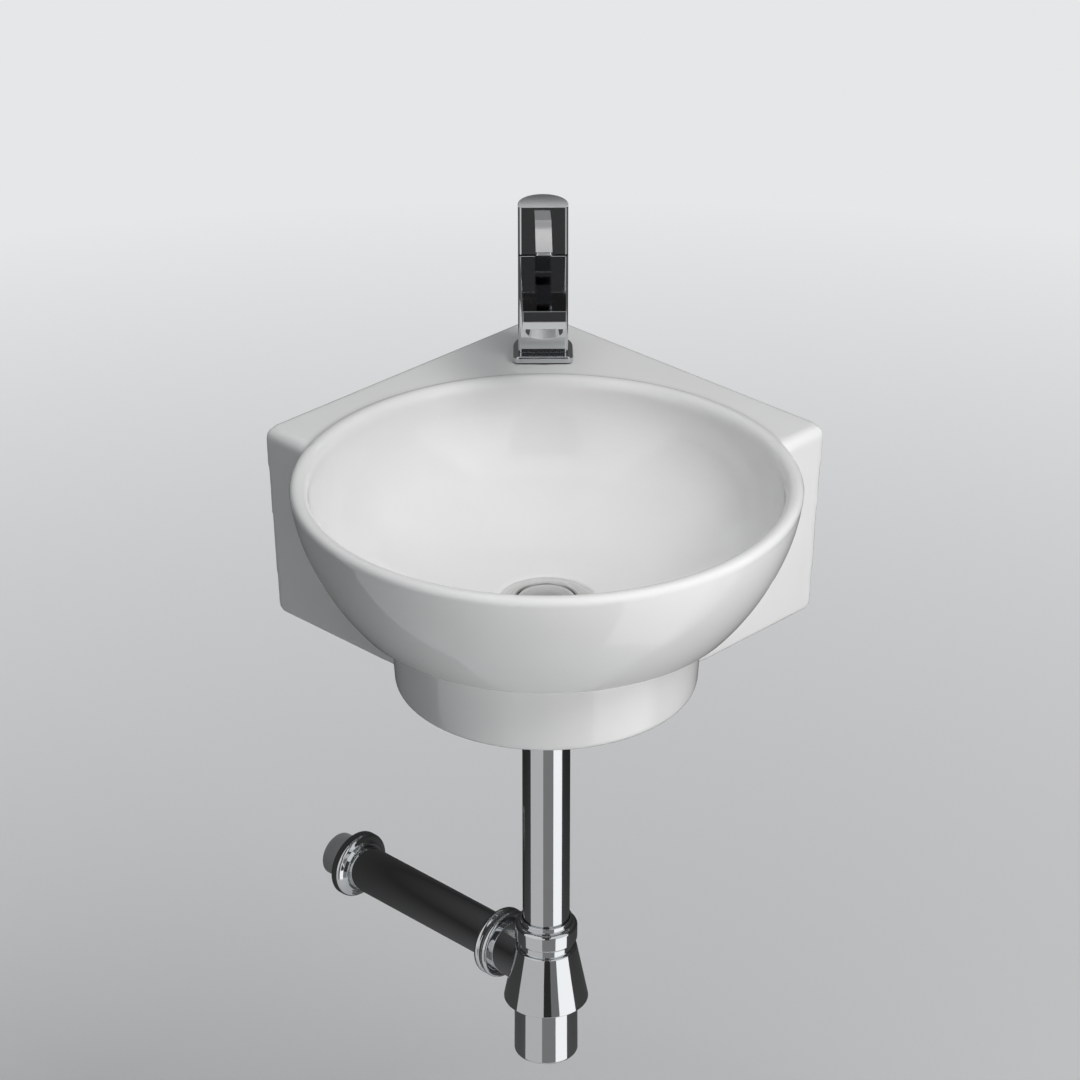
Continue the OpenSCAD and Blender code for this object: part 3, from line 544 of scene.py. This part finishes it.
# Turned and threaded fittings

def finished(piece, angle=32):
    """Smooth shading that leaves broad faces true, as polishing does."""
    smooth(piece, angle)
    return modify(piece, "WEIGHTED_NORMAL", mode="FACE_AREA", weight=50, keep_sharp=True)


def turned(name, corners, steps=112, centre=(0, BOWL_Y), soft=4):
    """A piece turned on a lathe, from (radius, height, corner radius)."""
    return finished(spun(name, rounded(corners, soft), steps, centre))


def thread_steps(radius, z0, z1, pitch):
    """Close outline points along a length that is to be threaded."""
    n = max(2, round(abs(z1 - z0) / (pitch / 8)))
    return [(radius, z0 + (z1 - z0) * i / n) for i in range(n + 1)]


def thread(piece, radius, z0, z1, pitch, depth, centre=(0, 0)):
    """Sinks a right-hand thread into the outside of a turned blank."""
    for v in piece.data.vertices:
        x, y, z = v.co.x / MM - centre[0], v.co.y / MM - centre[1], v.co.z / MM
        away = math.hypot(x, y)
        if abs(away - radius) > 0.02 or not z0 <= z <= z1:
            continue
        phase = (z / pitch - math.atan2(y, x) / TAU) % 1.0
        groove = min(1.0, max(0.0, (1 - abs(2 * phase - 1)) * 1.3 - 0.15))
        sunk = depth * groove * min(1.0, (z - z0) / pitch, (z1 - z) / pitch)
        v.co.x, v.co.y = mm(centre[0] + x * (1 - sunk / away)), mm(centre[1] + y * (1 - sunk / away))
    piece.data.update()
    return piece


def hexagon(name, across, outline, bore, centre=(0, 0)):
    """A six-sided nut: a hexagon trimmed to a turned outline, then bored."""
    z = [p[1] for p in outline]
    nut = rod(name, across / math.sqrt(3), min(z) - 1, max(z) + 1, sides=6)
    shaped(nut, at(centre[0], centre[1], 0) @ Matrix.Rotation(math.radians(90), 4, "Z"))
    cut(nut, spun("trim", outline, 96, centre), "INTERSECT")
    cut(nut, spun("bore", bore, 96, centre))
    broken_edges(nut, 0.25, 2, 25)
    return finished(nut, 25)


def plain_nut(name, across, bore, z0, z1, centre=(0, 0)):
    face = across / 2
    outline = [(0, z0), (face - 0.1, z0), (face + 1.2, z0 + 0.9), (face + 1.2, z1 - 0.9), (face - 0.1, z1), (0, z1)]
    hole = [(0, z0 - 1), (bore + 1.7, z0 - 1), (bore, z0 + 0.7), (bore, z1 - 0.7), (bore + 1.7, z1 + 1), (0, z1 + 1)]
    return hexagon(name, across, outline, hole, centre)


def one_mesh(pieces, name):
    """Joins copies into one piece."""
    only(pieces[0])
    for o in pieces[1:]:
        o.select_set(True)
    bpy.ops.object.join()
    pieces[0].name = name
    return pieces[0]


LEFT_FIXING = WALL_TURN @ at(FIX_ALONG, 0, -FIX_Z) @ Matrix.Rotation(math.radians(-90), 4, "X")
_spot, _way = LEFT_FIXING.translation, LEFT_FIXING.to_3x3() @ Vector((0, 0, 1))
_turn = Vector((-_way.x, _way.y, _way.z)).to_track_quat("Z", "Y").to_matrix().to_4x4()
RIGHT_FIXING = Matrix.Translation((-_spot.x, _spot.y, _spot.z)) @ _turn
OUTLET = at(0, BOWL_Y, OUT_Z) @ WALL_TURN @ Matrix.Rotation(math.radians(90), 4, "X")


def twin(piece, name):
    """One fixing on each wall."""
    other = piece.copy()
    other.data = piece.data.copy()
    bpy.context.scene.collection.objects.link(other)
    return one_mesh([shaped(piece, LEFT_FIXING), shaped(other, RIGHT_FIXING)], name)


def make_stud():
    """Hanger bolt: a coarse screw in the wall, a metric thread in the room."""
    wall = [(2.6, -36)] + thread_steps(4.8, -33.5, -3, 4.5)
    room = thread_steps(STUD_R, SKIRT_T + 1, SKIRT_T + 18, 1.5)
    outline = [(0, -40), (0.5, -39.6)] + wall + [(4.8, -1), (STUD_R, -0.5)] + room
    outline += [(STUD_R - 1, SKIRT_T + 19), (0, SKIRT_T + 19)]
    stud = spun("stud", outline, 40)
    thread(stud, 4.8, -33.5, -3, 4.5, 1.5)
    thread(stud, STUD_R, SKIRT_T + 1, SKIRT_T + 18, 1.5, 0.8)
    return smooth(stud, 40)


dress(twin(make_stud(), "hanger_bolts"), "fixture", "zinc_steel", "wall_studs")
SLEEVE = [(5.05, 0.3), (6.95, 0.3, 0.3), (6.95, SKIRT_T), (13, SKIRT_T, 0.2), (13, SKIRT_T + 1.5, 0.6),
          (11.5, SKIRT_T + 3, 0.6), (5.05, SKIRT_T + 3, 0.3)]
dress(twin(turned("sleeve", SLEEVE, 64, (0, 0)), "fixing_sleeves"), "fixture", "white_plastic", "stud_sleeves")
WASHER = [(5.2, SKIRT_T + 3, 0.2), (11, SKIRT_T + 3, 0.4), (11, SKIRT_T + 5, 0.6), (5.2, SKIRT_T + 5, 0.3)]
dress(twin(turned("washer", WASHER, 64, (0, 0)), "fixing_washers"), "fixture", "zinc_steel", "stud_washers")
dress(twin(plain_nut("nut", 17, 5.02, SKIRT_T + 5, SKIRT_T + 13), "fixing_nuts"), "fixture", "zinc_steel", "stud_nuts")


# Tap: heights above the shelf, y from the tap's own axis
COLUMN_FRONT, CAP_FRONT, CORNER_R, CAP_LEAN = 13, 12, 2.4, 5
PLATE_Z0, PLATE_Z1 = 1.2, 5.7
AERATOR_Y, STUD_Y, INLET_Y = TAP_Y - 74, TAP_Y - 8, TAP_Y + 4

def d_outline(r, front, corner, steps=48):
    """Half-round back and flat front, with soft front corners."""
    points = arc(0, 0, r, 0, 180, steps) + arc(corner - r, corner - front, corner, 180, 270, 6)
    points += arc(r - corner, corner - front, corner, 270, 360, 6)
    return [(x, y + TAP_Y) for x, y in points]


def side_outline(corners, steps=4):
    return [(y + TAP_Y, z) for y, z in rounded(corners, steps)]


def narrowed(piece, near, far, w_near, w_far):
    """Tapers a piece in width along y, from one half width to another."""
    for v in piece.data.vertices:
        t = (v.co.y / MM - TAP_Y - near) / (far - near)
        v.co.x *= (w_near + (w_far - w_near) * t) / w_near
    return piece


def make_tap_body():
    body = broken_edges(pulled("tap_column", d_outline(TAP_R, COLUMN_FRONT, CORNER_R), "xy", PLATE_Z1, TAP_TOP), 0.35)
    side = [(-1, 62), (-12, 76.9), (-89.9, 70.3, 0.5), (-91, 63.2, 1.2), (-88, 56.5, 1.6),
            (-60, 56.5, 8), (-13, 47, 3), (-1, 47)]
    spout = narrowed(pulled("spout", side_outline(side), "yz", -16, 16), -13, -91, 16, 14.4)
    join(body, broken_edges(spout, 0.45))
    cut(body, rod("chamber", 12.3, 48, 90, 0, TAP_Y, 64))
    cut(body, rod("aerator_socket", 10.5, 50, 66, 0, AERATOR_Y, 64))
    for x in (-7.5, 7.5):
        cut(body, rod("port", 4.6, 0, 17.7, x, INLET_Y, 40))
        cut(body, rod("inlet", 3.6, 10, 50, x, INLET_Y, 32))
    cut(body, rod("stud_hole", 4, 0, 18, 0, STUD_Y, 40))
    return finished(body)


def make_lever():
    """Cap with its blade, hollowed over the cartridge."""
    cap = pulled("cap", d_outline(TAP_R, CAP_FRONT, CORNER_R), "xy", CAP_Z0, CAP_Z1)
    for v in cap.data.vertices:
        if v.co.z > mm(CAP_Z1 - 1) and v.co.y < mm(TAP_Y - 9):
            v.co.y += mm(CAP_LEAN)
    broken_edges(cap, 0.4)
    side = [(-2, 101.25), (-67, 103, 0.3), (-67, 100.2, 0.9), (-16, 98, 12), (-6, 94.2), (-2, 94.2)]
    blade = pulled("blade", side_outline(side), "yz", -5.5, 5.5)
    bevel_where(blade, lambda a, b: max(a.y, b.y) < TAP_Y - 66.9 and abs(a.x - b.x) < 0.01, 2, 6)
    join(cap, broken_edges(blade, 0.35, 3, 40))
    hollow = [(x, y) for x, y in arc(0, TAP_Y, 14, -43.3, 223.3, 48)]
    cut(cap, pulled("hollow", hollow, "xy", 70, 93))
    tilt = Matrix.Translation(mm(0, TAP_Y, CAP_Z0)) @ Matrix.Rotation(math.radians(22), 4, "X")
    wedge = pulled("wedge", [(-40, 0), (40, 0), (40, 80), (-40, 80)], "xy", -30, 0)
    cut(cap, shaped(wedge, tilt))
    cut(cap, rod("stem_way", 3.53 * math.sqrt(2), 92, 104.3, 0, TAP_Y, 4))
    screw_way = rod("screw_way", 2.52, 0, 30)
    cut(cap, shaped(screw_way, at(0, TAP_Y, 98.5) @ Matrix.Rotation(math.radians(-90), 4, "X")))
    return finished(cap)


def make_base_plate():
    plate = pulled("tap_plate", d_outline(TAP_R + 3.5, TAP_R + 3.5, 4), "xy", PLATE_Z0, PLATE_Z1)
    bevel_where(plate, lambda a, b: min(a.z, b.z) > PLATE_Z1 - 0.1, 1.6, 6)
    cut(plate, pulled("plate_bore", d_outline(TAP_R - 1, 12.4, 1.2), "xy", 0, 8))
    return finished(plate)


dress(make_tap_body(), "fixture", "chrome", "tap_body")
lever = dress(make_lever(), "lever", "chrome", "lever_cap")
# Tops of cap and blade: an even grey in the photograph, painted into their satin finishes: the cap top's dark grey is
# painted shade, and the blade top's pale grey is a painted highlight. The blade's half metal is fitted to its level.
lever.data.materials.append(simple_finish("satin_cap_top_painted_shade", "#8A8C8D", 0.26, 1.0, second="#909293", scale=1600.0))
lever.data.materials.append(simple_finish("satin_blade_top_painted_highlight", "#E6E6E6", 0.38, 0.5, second="#EAEAEA", scale=1600.0))
# Upward faces of the cap take the painted shade, and those of the blade take the painted highlight
for face in lever.data.polygons:
    if face.normal.z > 0.98 and face.center.z > mm(100):
        face.material_index = 1 if face.center.z > mm(109) else 2
dress(make_base_plate(), "fixture", "chrome", "tap_base_plate")
AERATOR = [(9.6, 48.3, 0.3), (12.4, 48.3, 0.9), (12.4, 56.5, 0.6), (10.45, 56.5), (10.45, 62.5), (9.6, 62.5)]
dress(turned("aerator_collar", AERATOR, 96, (0, AERATOR_Y)), "fixture", "chrome", "aerator_ring")


def make_tap_stud():
    foot, top = -SHELF_T - 36, 17.7
    outline = [(0, foot), (3.2, foot)] + thread_steps(3.95, foot + 0.8, top - 1, 1.25) + [(3.2, top), (0, top)]
    stud = thread(spun("tap_fixing_stud", outline, 32), 3.95, foot + 0.8, top - 1, 1.25, 0.65)
    return smooth(shaped(stud, at(0, STUD_Y, 0)), 40)


dress(make_tap_stud(), "fixture", "brass", "tap_stud")
dress(plain_nut("tap_fixing_nut", 13, 4, -SHELF_T - 15, -SHELF_T - 5, (0, STUD_Y)),
      "fixture", "brass", "tap_stud_nut")


# Waste: flange, plug and the nuts under the bowl

def make_waste():
    """Pressed flange with a dished seat, and a G 1 1/4 tail."""
    r, seat, t = 31.5, 17.6, FLANGE_TOP
    outline = [(TAIL_R, FLANGE_Z), (r, FLANGE_Z)] + arc(r - 1, FLANGE_Z + 1.2, 1, 0, 78, 6)
    outline += arc(20.9, t - 0.6, 0.6, 82, 170, 6)
    outline += [(19.8, t - 3), (seat, t - 7), (seat, TAIL_Z), (TAIL_R - 1.5, TAIL_Z)]
    outline += thread_steps(TAIL_R, TAIL_Z + 1, -UNDER_Z, 2.309)
    body = spun("waste_flange", outline, 144, (0, BOWL_Y))
    thread(body, TAIL_R, TAIL_Z + 1, -UNDER_Z, 2.309, 1.3, (0, BOWL_Y))
    cross = FLANGE_TOP - 14
    for turn in (0, 90):
        bar = pulled("cross", [(-18.2, -1.5), (18.2, -1.5), (18.2, 1.5), (-18.2, 1.5)], "xy", cross - 7, cross - 3)
        join(body, shaped(bar, at(0, BOWL_Y, 0) @ Matrix.Rotation(math.radians(turn), 4, "Z")))
    join(body, rod("hub", 9, cross - 10, cross - 1, 0, BOWL_Y, 64))
    cut(body, rod("hub_bore", 7, cross - 15, cross + 15, 0, BOWL_Y, 64))
    return smooth(body, 35)


def make_plug():
    """Domed, spun-finished plug on its spindle, with a groove for the seal."""
    r, z, groove = 19.1, FLANGE_TOP - 0.1, FLANGE_TOP - 3.4
    dome = [(r * i / 12, z + 0.5 - 0.5 * (i / 12) ** 3) for i in range(0, 12)]
    rim = arc(r - 0.9, z - 0.95, 0.9, 80, -60, 8)
    stem = [(r - 1.9, groove), (r - 4.1, groove), (r - 4.1, groove - 3.2), (r - 2.4, groove - 3.2)]
    stem += [(r - 3, groove - 4.6), (4, groove - 4.6), (4, FLANGE_TOP - 34), (3, FLANGE_TOP - 35), (0, FLANGE_TOP - 35)]
    return finished(spun("plug_top", dome + rim + stem, 112, (0, BOWL_Y)))


dress(make_waste(), "fixture", "brushed_flange", "waste_body")
dress(make_plug(), "plug", "brushed_flange", "waste_plug")
SLIP_Z = -UNDER_Z - 7
RING = [(TAIL_R + 0.1, SLIP_Z, 0.2), (HOLE_R + 7, SLIP_Z, 0.4),
        (HOLE_R + 7, SLIP_Z + 1.5, 0.4), (TAIL_R + 0.1, SLIP_Z + 1.5, 0.2)]
dress(turned("slip_washer", RING, 96), "fixture", "white_plastic", "waste_slip_ring")
dress(plain_nut("backing_nut", 52, TAIL_R + 0.05, SLIP_Z - 9, SLIP_Z, (0, BOWL_Y)), "fixture", "brass", "waste_backnut")


def make_coupling():
    z, r = TAIL_Z - 7.5, TAIL_R
    outline = [(0, z), (r + 2.6, z), (r + 4.6, z + 2), (r + 4.6, z + 18.5), (r + 3, z + 20.5), (0, z + 20.5)]
    bore = [(0, z - 1), (16.3, z - 1), (16.3, z + 3), (r + 0.05, z + 3), (r + 0.05, z + 19.5),
            (r + 1.4, z + 21), (0, z + 21)]
    return hexagon("coupling_nut_hex", 2 * (r + 3.6), outline, bore, (0, BOWL_Y))


dress(make_coupling(), "fixture", "chrome", "coupling_nut")

# Trap: chrome pieces turned about the bowl's axis
NECK_FLOOR = BELL_TOP + 2
PIPE = [(14.8, TAIL_Z - 2.5), (TAIL_R - 0.8, TAIL_Z - 2.5, 0.4), (TAIL_R - 0.8, TAIL_Z - 4.5, 0.4),
        (16, TAIL_Z - 4.5, 0.8), (16, NECK_FLOOR + 1.7, 0.3), (14.8, NECK_FLOOR + 1.7)]
dress(turned("down_tube", PIPE), "fixture", "chrome", "downpipe")


def make_trap_nut():
    top, foot = TRAP_NUT_TOP, TRAP_NUT_TOP - 17.5
    outline = [(16.3, top - 0.3), (16.5, top)] + arc(17.2, top - 0.6, 0.6, 90, 0, 4)
    outline += [(17.8, top - 3.4)] + arc(18.4, top - 3.4, 0.6, 180, 270, 4)
    outline += arc(18.5, top - 6.8, 2.8, 90, 0, 8) + arc(19.2, foot + 2, 2, 0, -90, 7)
    outline += [(18.55, foot), (18.55, top - 8), (16.3, top - 8)]
    return finished(spun("inlet_ring_nut", outline, 112, (0, BOWL_Y)))


def make_trap_bell():
    """Coned bell with the outlet branch, bored for the pipe, the dip tube and the cup."""
    top, foot, neck = BELL_TOP, BELL_FOOT, TRAP_NUT_TOP - 11.2
    outside = [(16.1, neck, 0.3), (18.5, neck, 0.4), (18.5, top + 5.4), (19, top + 5.2), (19, top + 0.5, 0.6),
               (20.9, top, 1.2), (29, foot, 0.7), (20.06, foot, 0.4)]
    inside = [(20.06, foot + 12), (22.4, foot + 12), (22.4, foot + 3), (25.9, foot + 3), (18.4, top - 2),
              (13.1, top - 1), (13.1, NECK_FLOOR), (16.1, NECK_FLOOR)]
    outline = rounded(outside + inside)
    bell = spun("trap_bell", outline, 128, (0, BOWL_Y))
    branch = shaped(spun("branch", [(0, 8), (19.5, 8), (19.5, 43.0), (19, 43.5), (0, 43.5)], 96), OUTLET)
    join(bell, branch)
    way = [(0, 17), (13.5, 17), (13.5, 35.5), (16.2, 35.5), (16.2, 60), (0, 60)]
    cut(bell, shaped(spun("branch_way", way, 96), OUTLET))
    return finished(bell, 28)


def make_cup():
    top, foot, skin = CUP_TOP - 0.3, CUP_FOOT, 21.5
    thread_top = BELL_FOOT + 10.2
    outer = [(0, foot)] + arc(skin - 1.7, foot + 2, 2, -90, 0, 8) + rounded([(0, 0), (skin, top, 0.6), (20, top)])[1:-1]
    outline = outer + thread_steps(20, top, thread_top, 2) + [(19.2, BELL_FOOT + 11), (18.4, BELL_FOOT + 11)]
    outline += [(18.4, foot + 5.2), (16.4, foot + 3.2), (0, foot + 3.2)]
    cup = spun("trap_cup_chromed", outline, 112, (0, BOWL_Y))
    thread(cup, 20, top + 1, thread_top, 2, 0.9, (0, BOWL_Y))
    return finished(cup)


dress(make_trap_nut(), "fixture", "chrome", "trap_top_nut")
dress(make_trap_bell(), "fixture", "chrome", "trap_body")
dress(make_cup(), "cup", "chrome", "trap_cup")


def make_outlet_nut():
    r, s = 24.5, 43.5
    outline = [(19.55, s - 8)] + arc(r - 2.4, s - 5.6, 2.4, -90, 55, 9)
    outline += [(r - 1.3, s - 3.2), (r - 1.3, s - 1.6)] + arc(r - 2.4, s + 0.8, 2.4, -55, 90, 9)
    outline += [(18.1, s + 3.8), (16.3, s + 3.5), (16.3, s + 1.6), (19.55, s + 1.6)]
    return finished(shaped(spun("outlet_ring_nut", outline, 112), OUTLET))


def make_wall_flange():
    r, w = 24, AXIS_W
    corners = [(16.06, w - 9, 0.2), (16.6, w - 9.6, 0.3), (17.7, w - 9.6, 0.6), (19.6, w - 7.8, 1.2),
               (r, w - 6.4, 3.4), (r, w - 0.3, 0.2), (r - 1.3, w - 0.3), (r - 1.3, w - 3.6),
               (18.4, w - 6.4), (16.06, w - 6.6)]
    return finished(shaped(spun("wall_rose", rounded(corners, 6), 112), OUTLET))


dress(make_outlet_nut(), "fixture", "chrome", "outlet_nut")
PIPE_END = [(14.8, 35.7), (16, 35.7), (16, AXIS_W - 0.4), (15.6, AXIS_W), (15.6, AXIS_W + 18, 0.4), (14.8, AXIS_W + 18)]
tube = finished(shaped(spun("outlet_tube", rounded(PIPE_END, 3), 112), OUTLET))
dress(tube, "fixture", "chrome", "outlet_pipe")
tube.data.materials.append(
    simple_finish("sanded_pipe_end", "#5E5F60", 0.5, 1.0, second="#727373", scale=500.0, bump=0.3))
for face in tube.data.polygons:
    if (face.center - OUTLET.translation).to_2d().length > mm(AXIS_W - 0.5):
        face.material_index = 1
dress(make_wall_flange(), "flange", "chrome", "wall_flange")


# Stage, light and camera

def stage_piece(piece, *hidden):
    """Hides a studio piece from some kinds of rays."""
    for kind in hidden:
        setattr(piece, "visible_" + kind, False)
    return piece


def front_only(tree, shader):
    """Shows a studio surface from its front, and nothing from behind."""
    behind = add(tree, "ShaderNodeNewGeometry").outputs["Backfacing"]
    clear = add(tree, "ShaderNodeBsdfTransparent")
    mix = add(tree, "ShaderNodeMixShader", {0: behind, 1: shader, 2: clear.outputs[0]})
    tree.links.new(mix.outputs[0], tree.nodes["Material Output"].inputs["Surface"])


def seen_rays(tree):
    """1 for what the camera, a mirror or glass sees, 0 for diffuse light."""
    path = add(tree, "ShaderNodeLightPath")
    both = maths(tree, "MAXIMUM", path.outputs["Is Camera Ray"], path.outputs["Is Glossy Ray"])
    return maths(tree, "MAXIMUM", both, path.outputs["Is Transmission Ray"])


bpy.ops.mesh.primitive_plane_add(size=60, location=(0, 0, -0.82))
floor = stage_piece(bpy.context.object)
floor.name = "studio_floor"
# Pale card floor that sweeps into the pale backdrop away from the piece
floor_mat, tree, shader, where = material("studio_floor", "#F0F1F1", 0.9)
seen = seen_rays(tree)
tree.links.new(blend_colours(tree, seen, "#C8C9C9", "#F0F1F1"), shader.inputs["Base Color"])
away = add(tree, "ShaderNodeVectorMath", {0: where}, operation="LENGTH").outputs["Value"]
fade = maths(tree, "POWER", spread(tree, away, 0.3, 2.2, 0, 1), 0.7)
glow = add(tree, "ShaderNodeEmission", {0: blend_colours(tree, fade, "#D2D3D4", "#E6E7E8")})
faded = maths(tree, "MULTIPLY", fade, seen)
sweep = add(tree, "ShaderNodeMixShader", {0: faded, 1: shader.outputs[0], 2: glow.outputs[0]})
front_only(tree, sweep.outputs[0])
floor.data.materials.append(floor_mat)

world = bpy.data.worlds.new("studio")
bpy.context.scene.world = world
world.use_nodes = True
sky = world.node_tree
backdrop = sky.nodes["Background"]
sky.links.new(blend_colours(sky, seen_rays(sky), "#727477", "#E6E7E8"), backdrop.inputs[0])
backdrop.inputs[1].default_value = 1.0


def card(name, corners, level, rise=0.0):
    """A board that only mirrors see, facing the way its corners turn, lighter by rise a metre away from z -0.3."""
    board = outline_mesh(name, [[c / MM for c in p] for p in corners], [], [list(range(len(corners)))])
    mat = bpy.data.materials.new(name)
    mat.use_nodes = True
    glow = add(mat.node_tree, "ShaderNodeEmission")
    glow.inputs[0].default_value = (level, level, level, 1)
    if rise:
        tree = mat.node_tree
        where = add(tree, "ShaderNodeTexCoord").outputs["Object"]
        height = add(tree, "ShaderNodeSeparateXYZ", {0: where}).outputs["Z"]
        away = maths(tree, "ABSOLUTE", maths(tree, "ADD", height, 0.3))
        tree.links.new(spread(tree, away, 0, 1, level, level + rise), glow.inputs[0])
    front_only(mat.node_tree, glow.outputs[0])
    board.data.materials.append(mat)
    return stage_piece(board, "camera", "diffuse", "shadow", "transmission")


def floor_sector(name, start, end, near, far, level):
    """Part of a ring of card on the floor round the pipe, by its angles from the camera's side."""
    axis_y, steps = BOWL_Y * MM, 12

    def spot(r, k):
        a = math.radians(start + (end - start) * k / steps)
        return (r * math.sin(a), axis_y - r * math.cos(a), -0.812)

    outer = [spot(far, k) for k in range(steps + 1)]
    inner = [spot(near, k) for k in range(steps, -1, -1)]
    return card(name, outer + inner, level)


# Boards about where the photograph's dark walls are, and boards round pipe and tap,
# placed and graded so that chrome shows the photograph's bands from its camera
REACH, LOW, HIGH = 0.47, -0.81, 0.5
for side in (-1, 1):
    far = (side * REACH * math.sqrt(0.5), -REACH * math.sqrt(0.5))
    ends = [(0, 0.002), (far[0], far[1] + 0.002)]
    if side < 0:
        ends.reverse()
    card("wall_board", [(*ends[1], LOW), (*ends[1], HIGH), (*ends[0], HIGH), (*ends[0], LOW)], 0.025, 0.24)
for name, start, end, near, far, level in (
        ("right_board", 34, 81, 0.45, 2.7, 1.3), ("centre_board", -15, 34, 0.45, 1.5, 0.24),
        ("left_board", -81, -15, 0.45, 2.7, 0.6), ("bell_left_board", -15, -7, 1.5, 2.7, 0.6),
        ("bell_dark_board", -7, 13, 1.5, 2.7, 0.03), ("bell_grey_board", 13, 34, 1.5, 2.7, 0.2)):
    floor_sector(name, start, end, near, far, level)
for start, end, top, level in ((-1.5, -0.22, 0.35, 0.7), (-0.22, 0.43, 0.75, 0.05), (0.43, 1.5, 0.35, 0.25)):
    card("front_board", [(start, -2.75, -0.8), (start, -2.75, top), (end, -2.75, top), (end, -2.75, -0.8)], level)
card("top_board", [(-0.5, -1.0, 1.95), (0.5, -1.0, 1.95), (0.5, -2.4, 0.6), (-0.5, -2.4, 0.6)], 0.05)
for foot, top, level in ((0.108, 0.126, 0.3), (0.126, 0.1365, 2.2), (0.1365, 0.21, 0.015)):
    card("lever_board", [(-0.03, -0.03, foot), (0.03, -0.03, foot), (0.03, -0.03, top), (-0.03, -0.03, top)], level)


def softbox(name, power, size, place, target, angle):
    bpy.ops.object.light_add(type="AREA", location=place)
    lamp = bpy.context.object
    lamp.name = name
    lamp.data.shape = "RECTANGLE"
    lamp.data.size, lamp.data.size_y = size
    lamp.data.energy = power
    lamp.data.spread, lamp.visible_glossy = math.radians(angle), False
    lamp.rotation_euler = (Vector(target) - Vector(place)).to_track_quat("-Z", "Y").to_euler()


for name, power, size, place, target, angle in (
        ("window_softbox", 29.5, (1.2, 1.3), (1.13, -1.25, 1.8), (0, -0.27, -0.08), 180),
        ("ceiling_softbox", 9, (1.4, 1.2), (-0.1, -0.55, 2.0), (0, -0.27, -0.08), 180),
        ("low_softbox", 3.9, (1.0, 0.7), (1.4, -2.05, -0.3), (0, -0.27, -0.1), 80)):
    softbox(name, power, size, place, target, angle)

camera_data = bpy.data.cameras.new("camera")
camera = bpy.data.objects.new("camera", camera_data)
bpy.context.scene.collection.objects.link(camera)
# The photograph's view: 4000 px focal length on its 1080 px frame, 27.25 degrees down
camera_data.sensor_width = 36
camera_data.lens = 4000 / 1080 * 36
camera.location = (-0.028655, -2.563941, 1.141716)
camera.rotation_euler = (math.pi / 2 - 0.4756004, 0, -0.0106658)
bpy.context.scene.camera = camera
bpy.context.scene.view_settings.view_transform = "Standard"
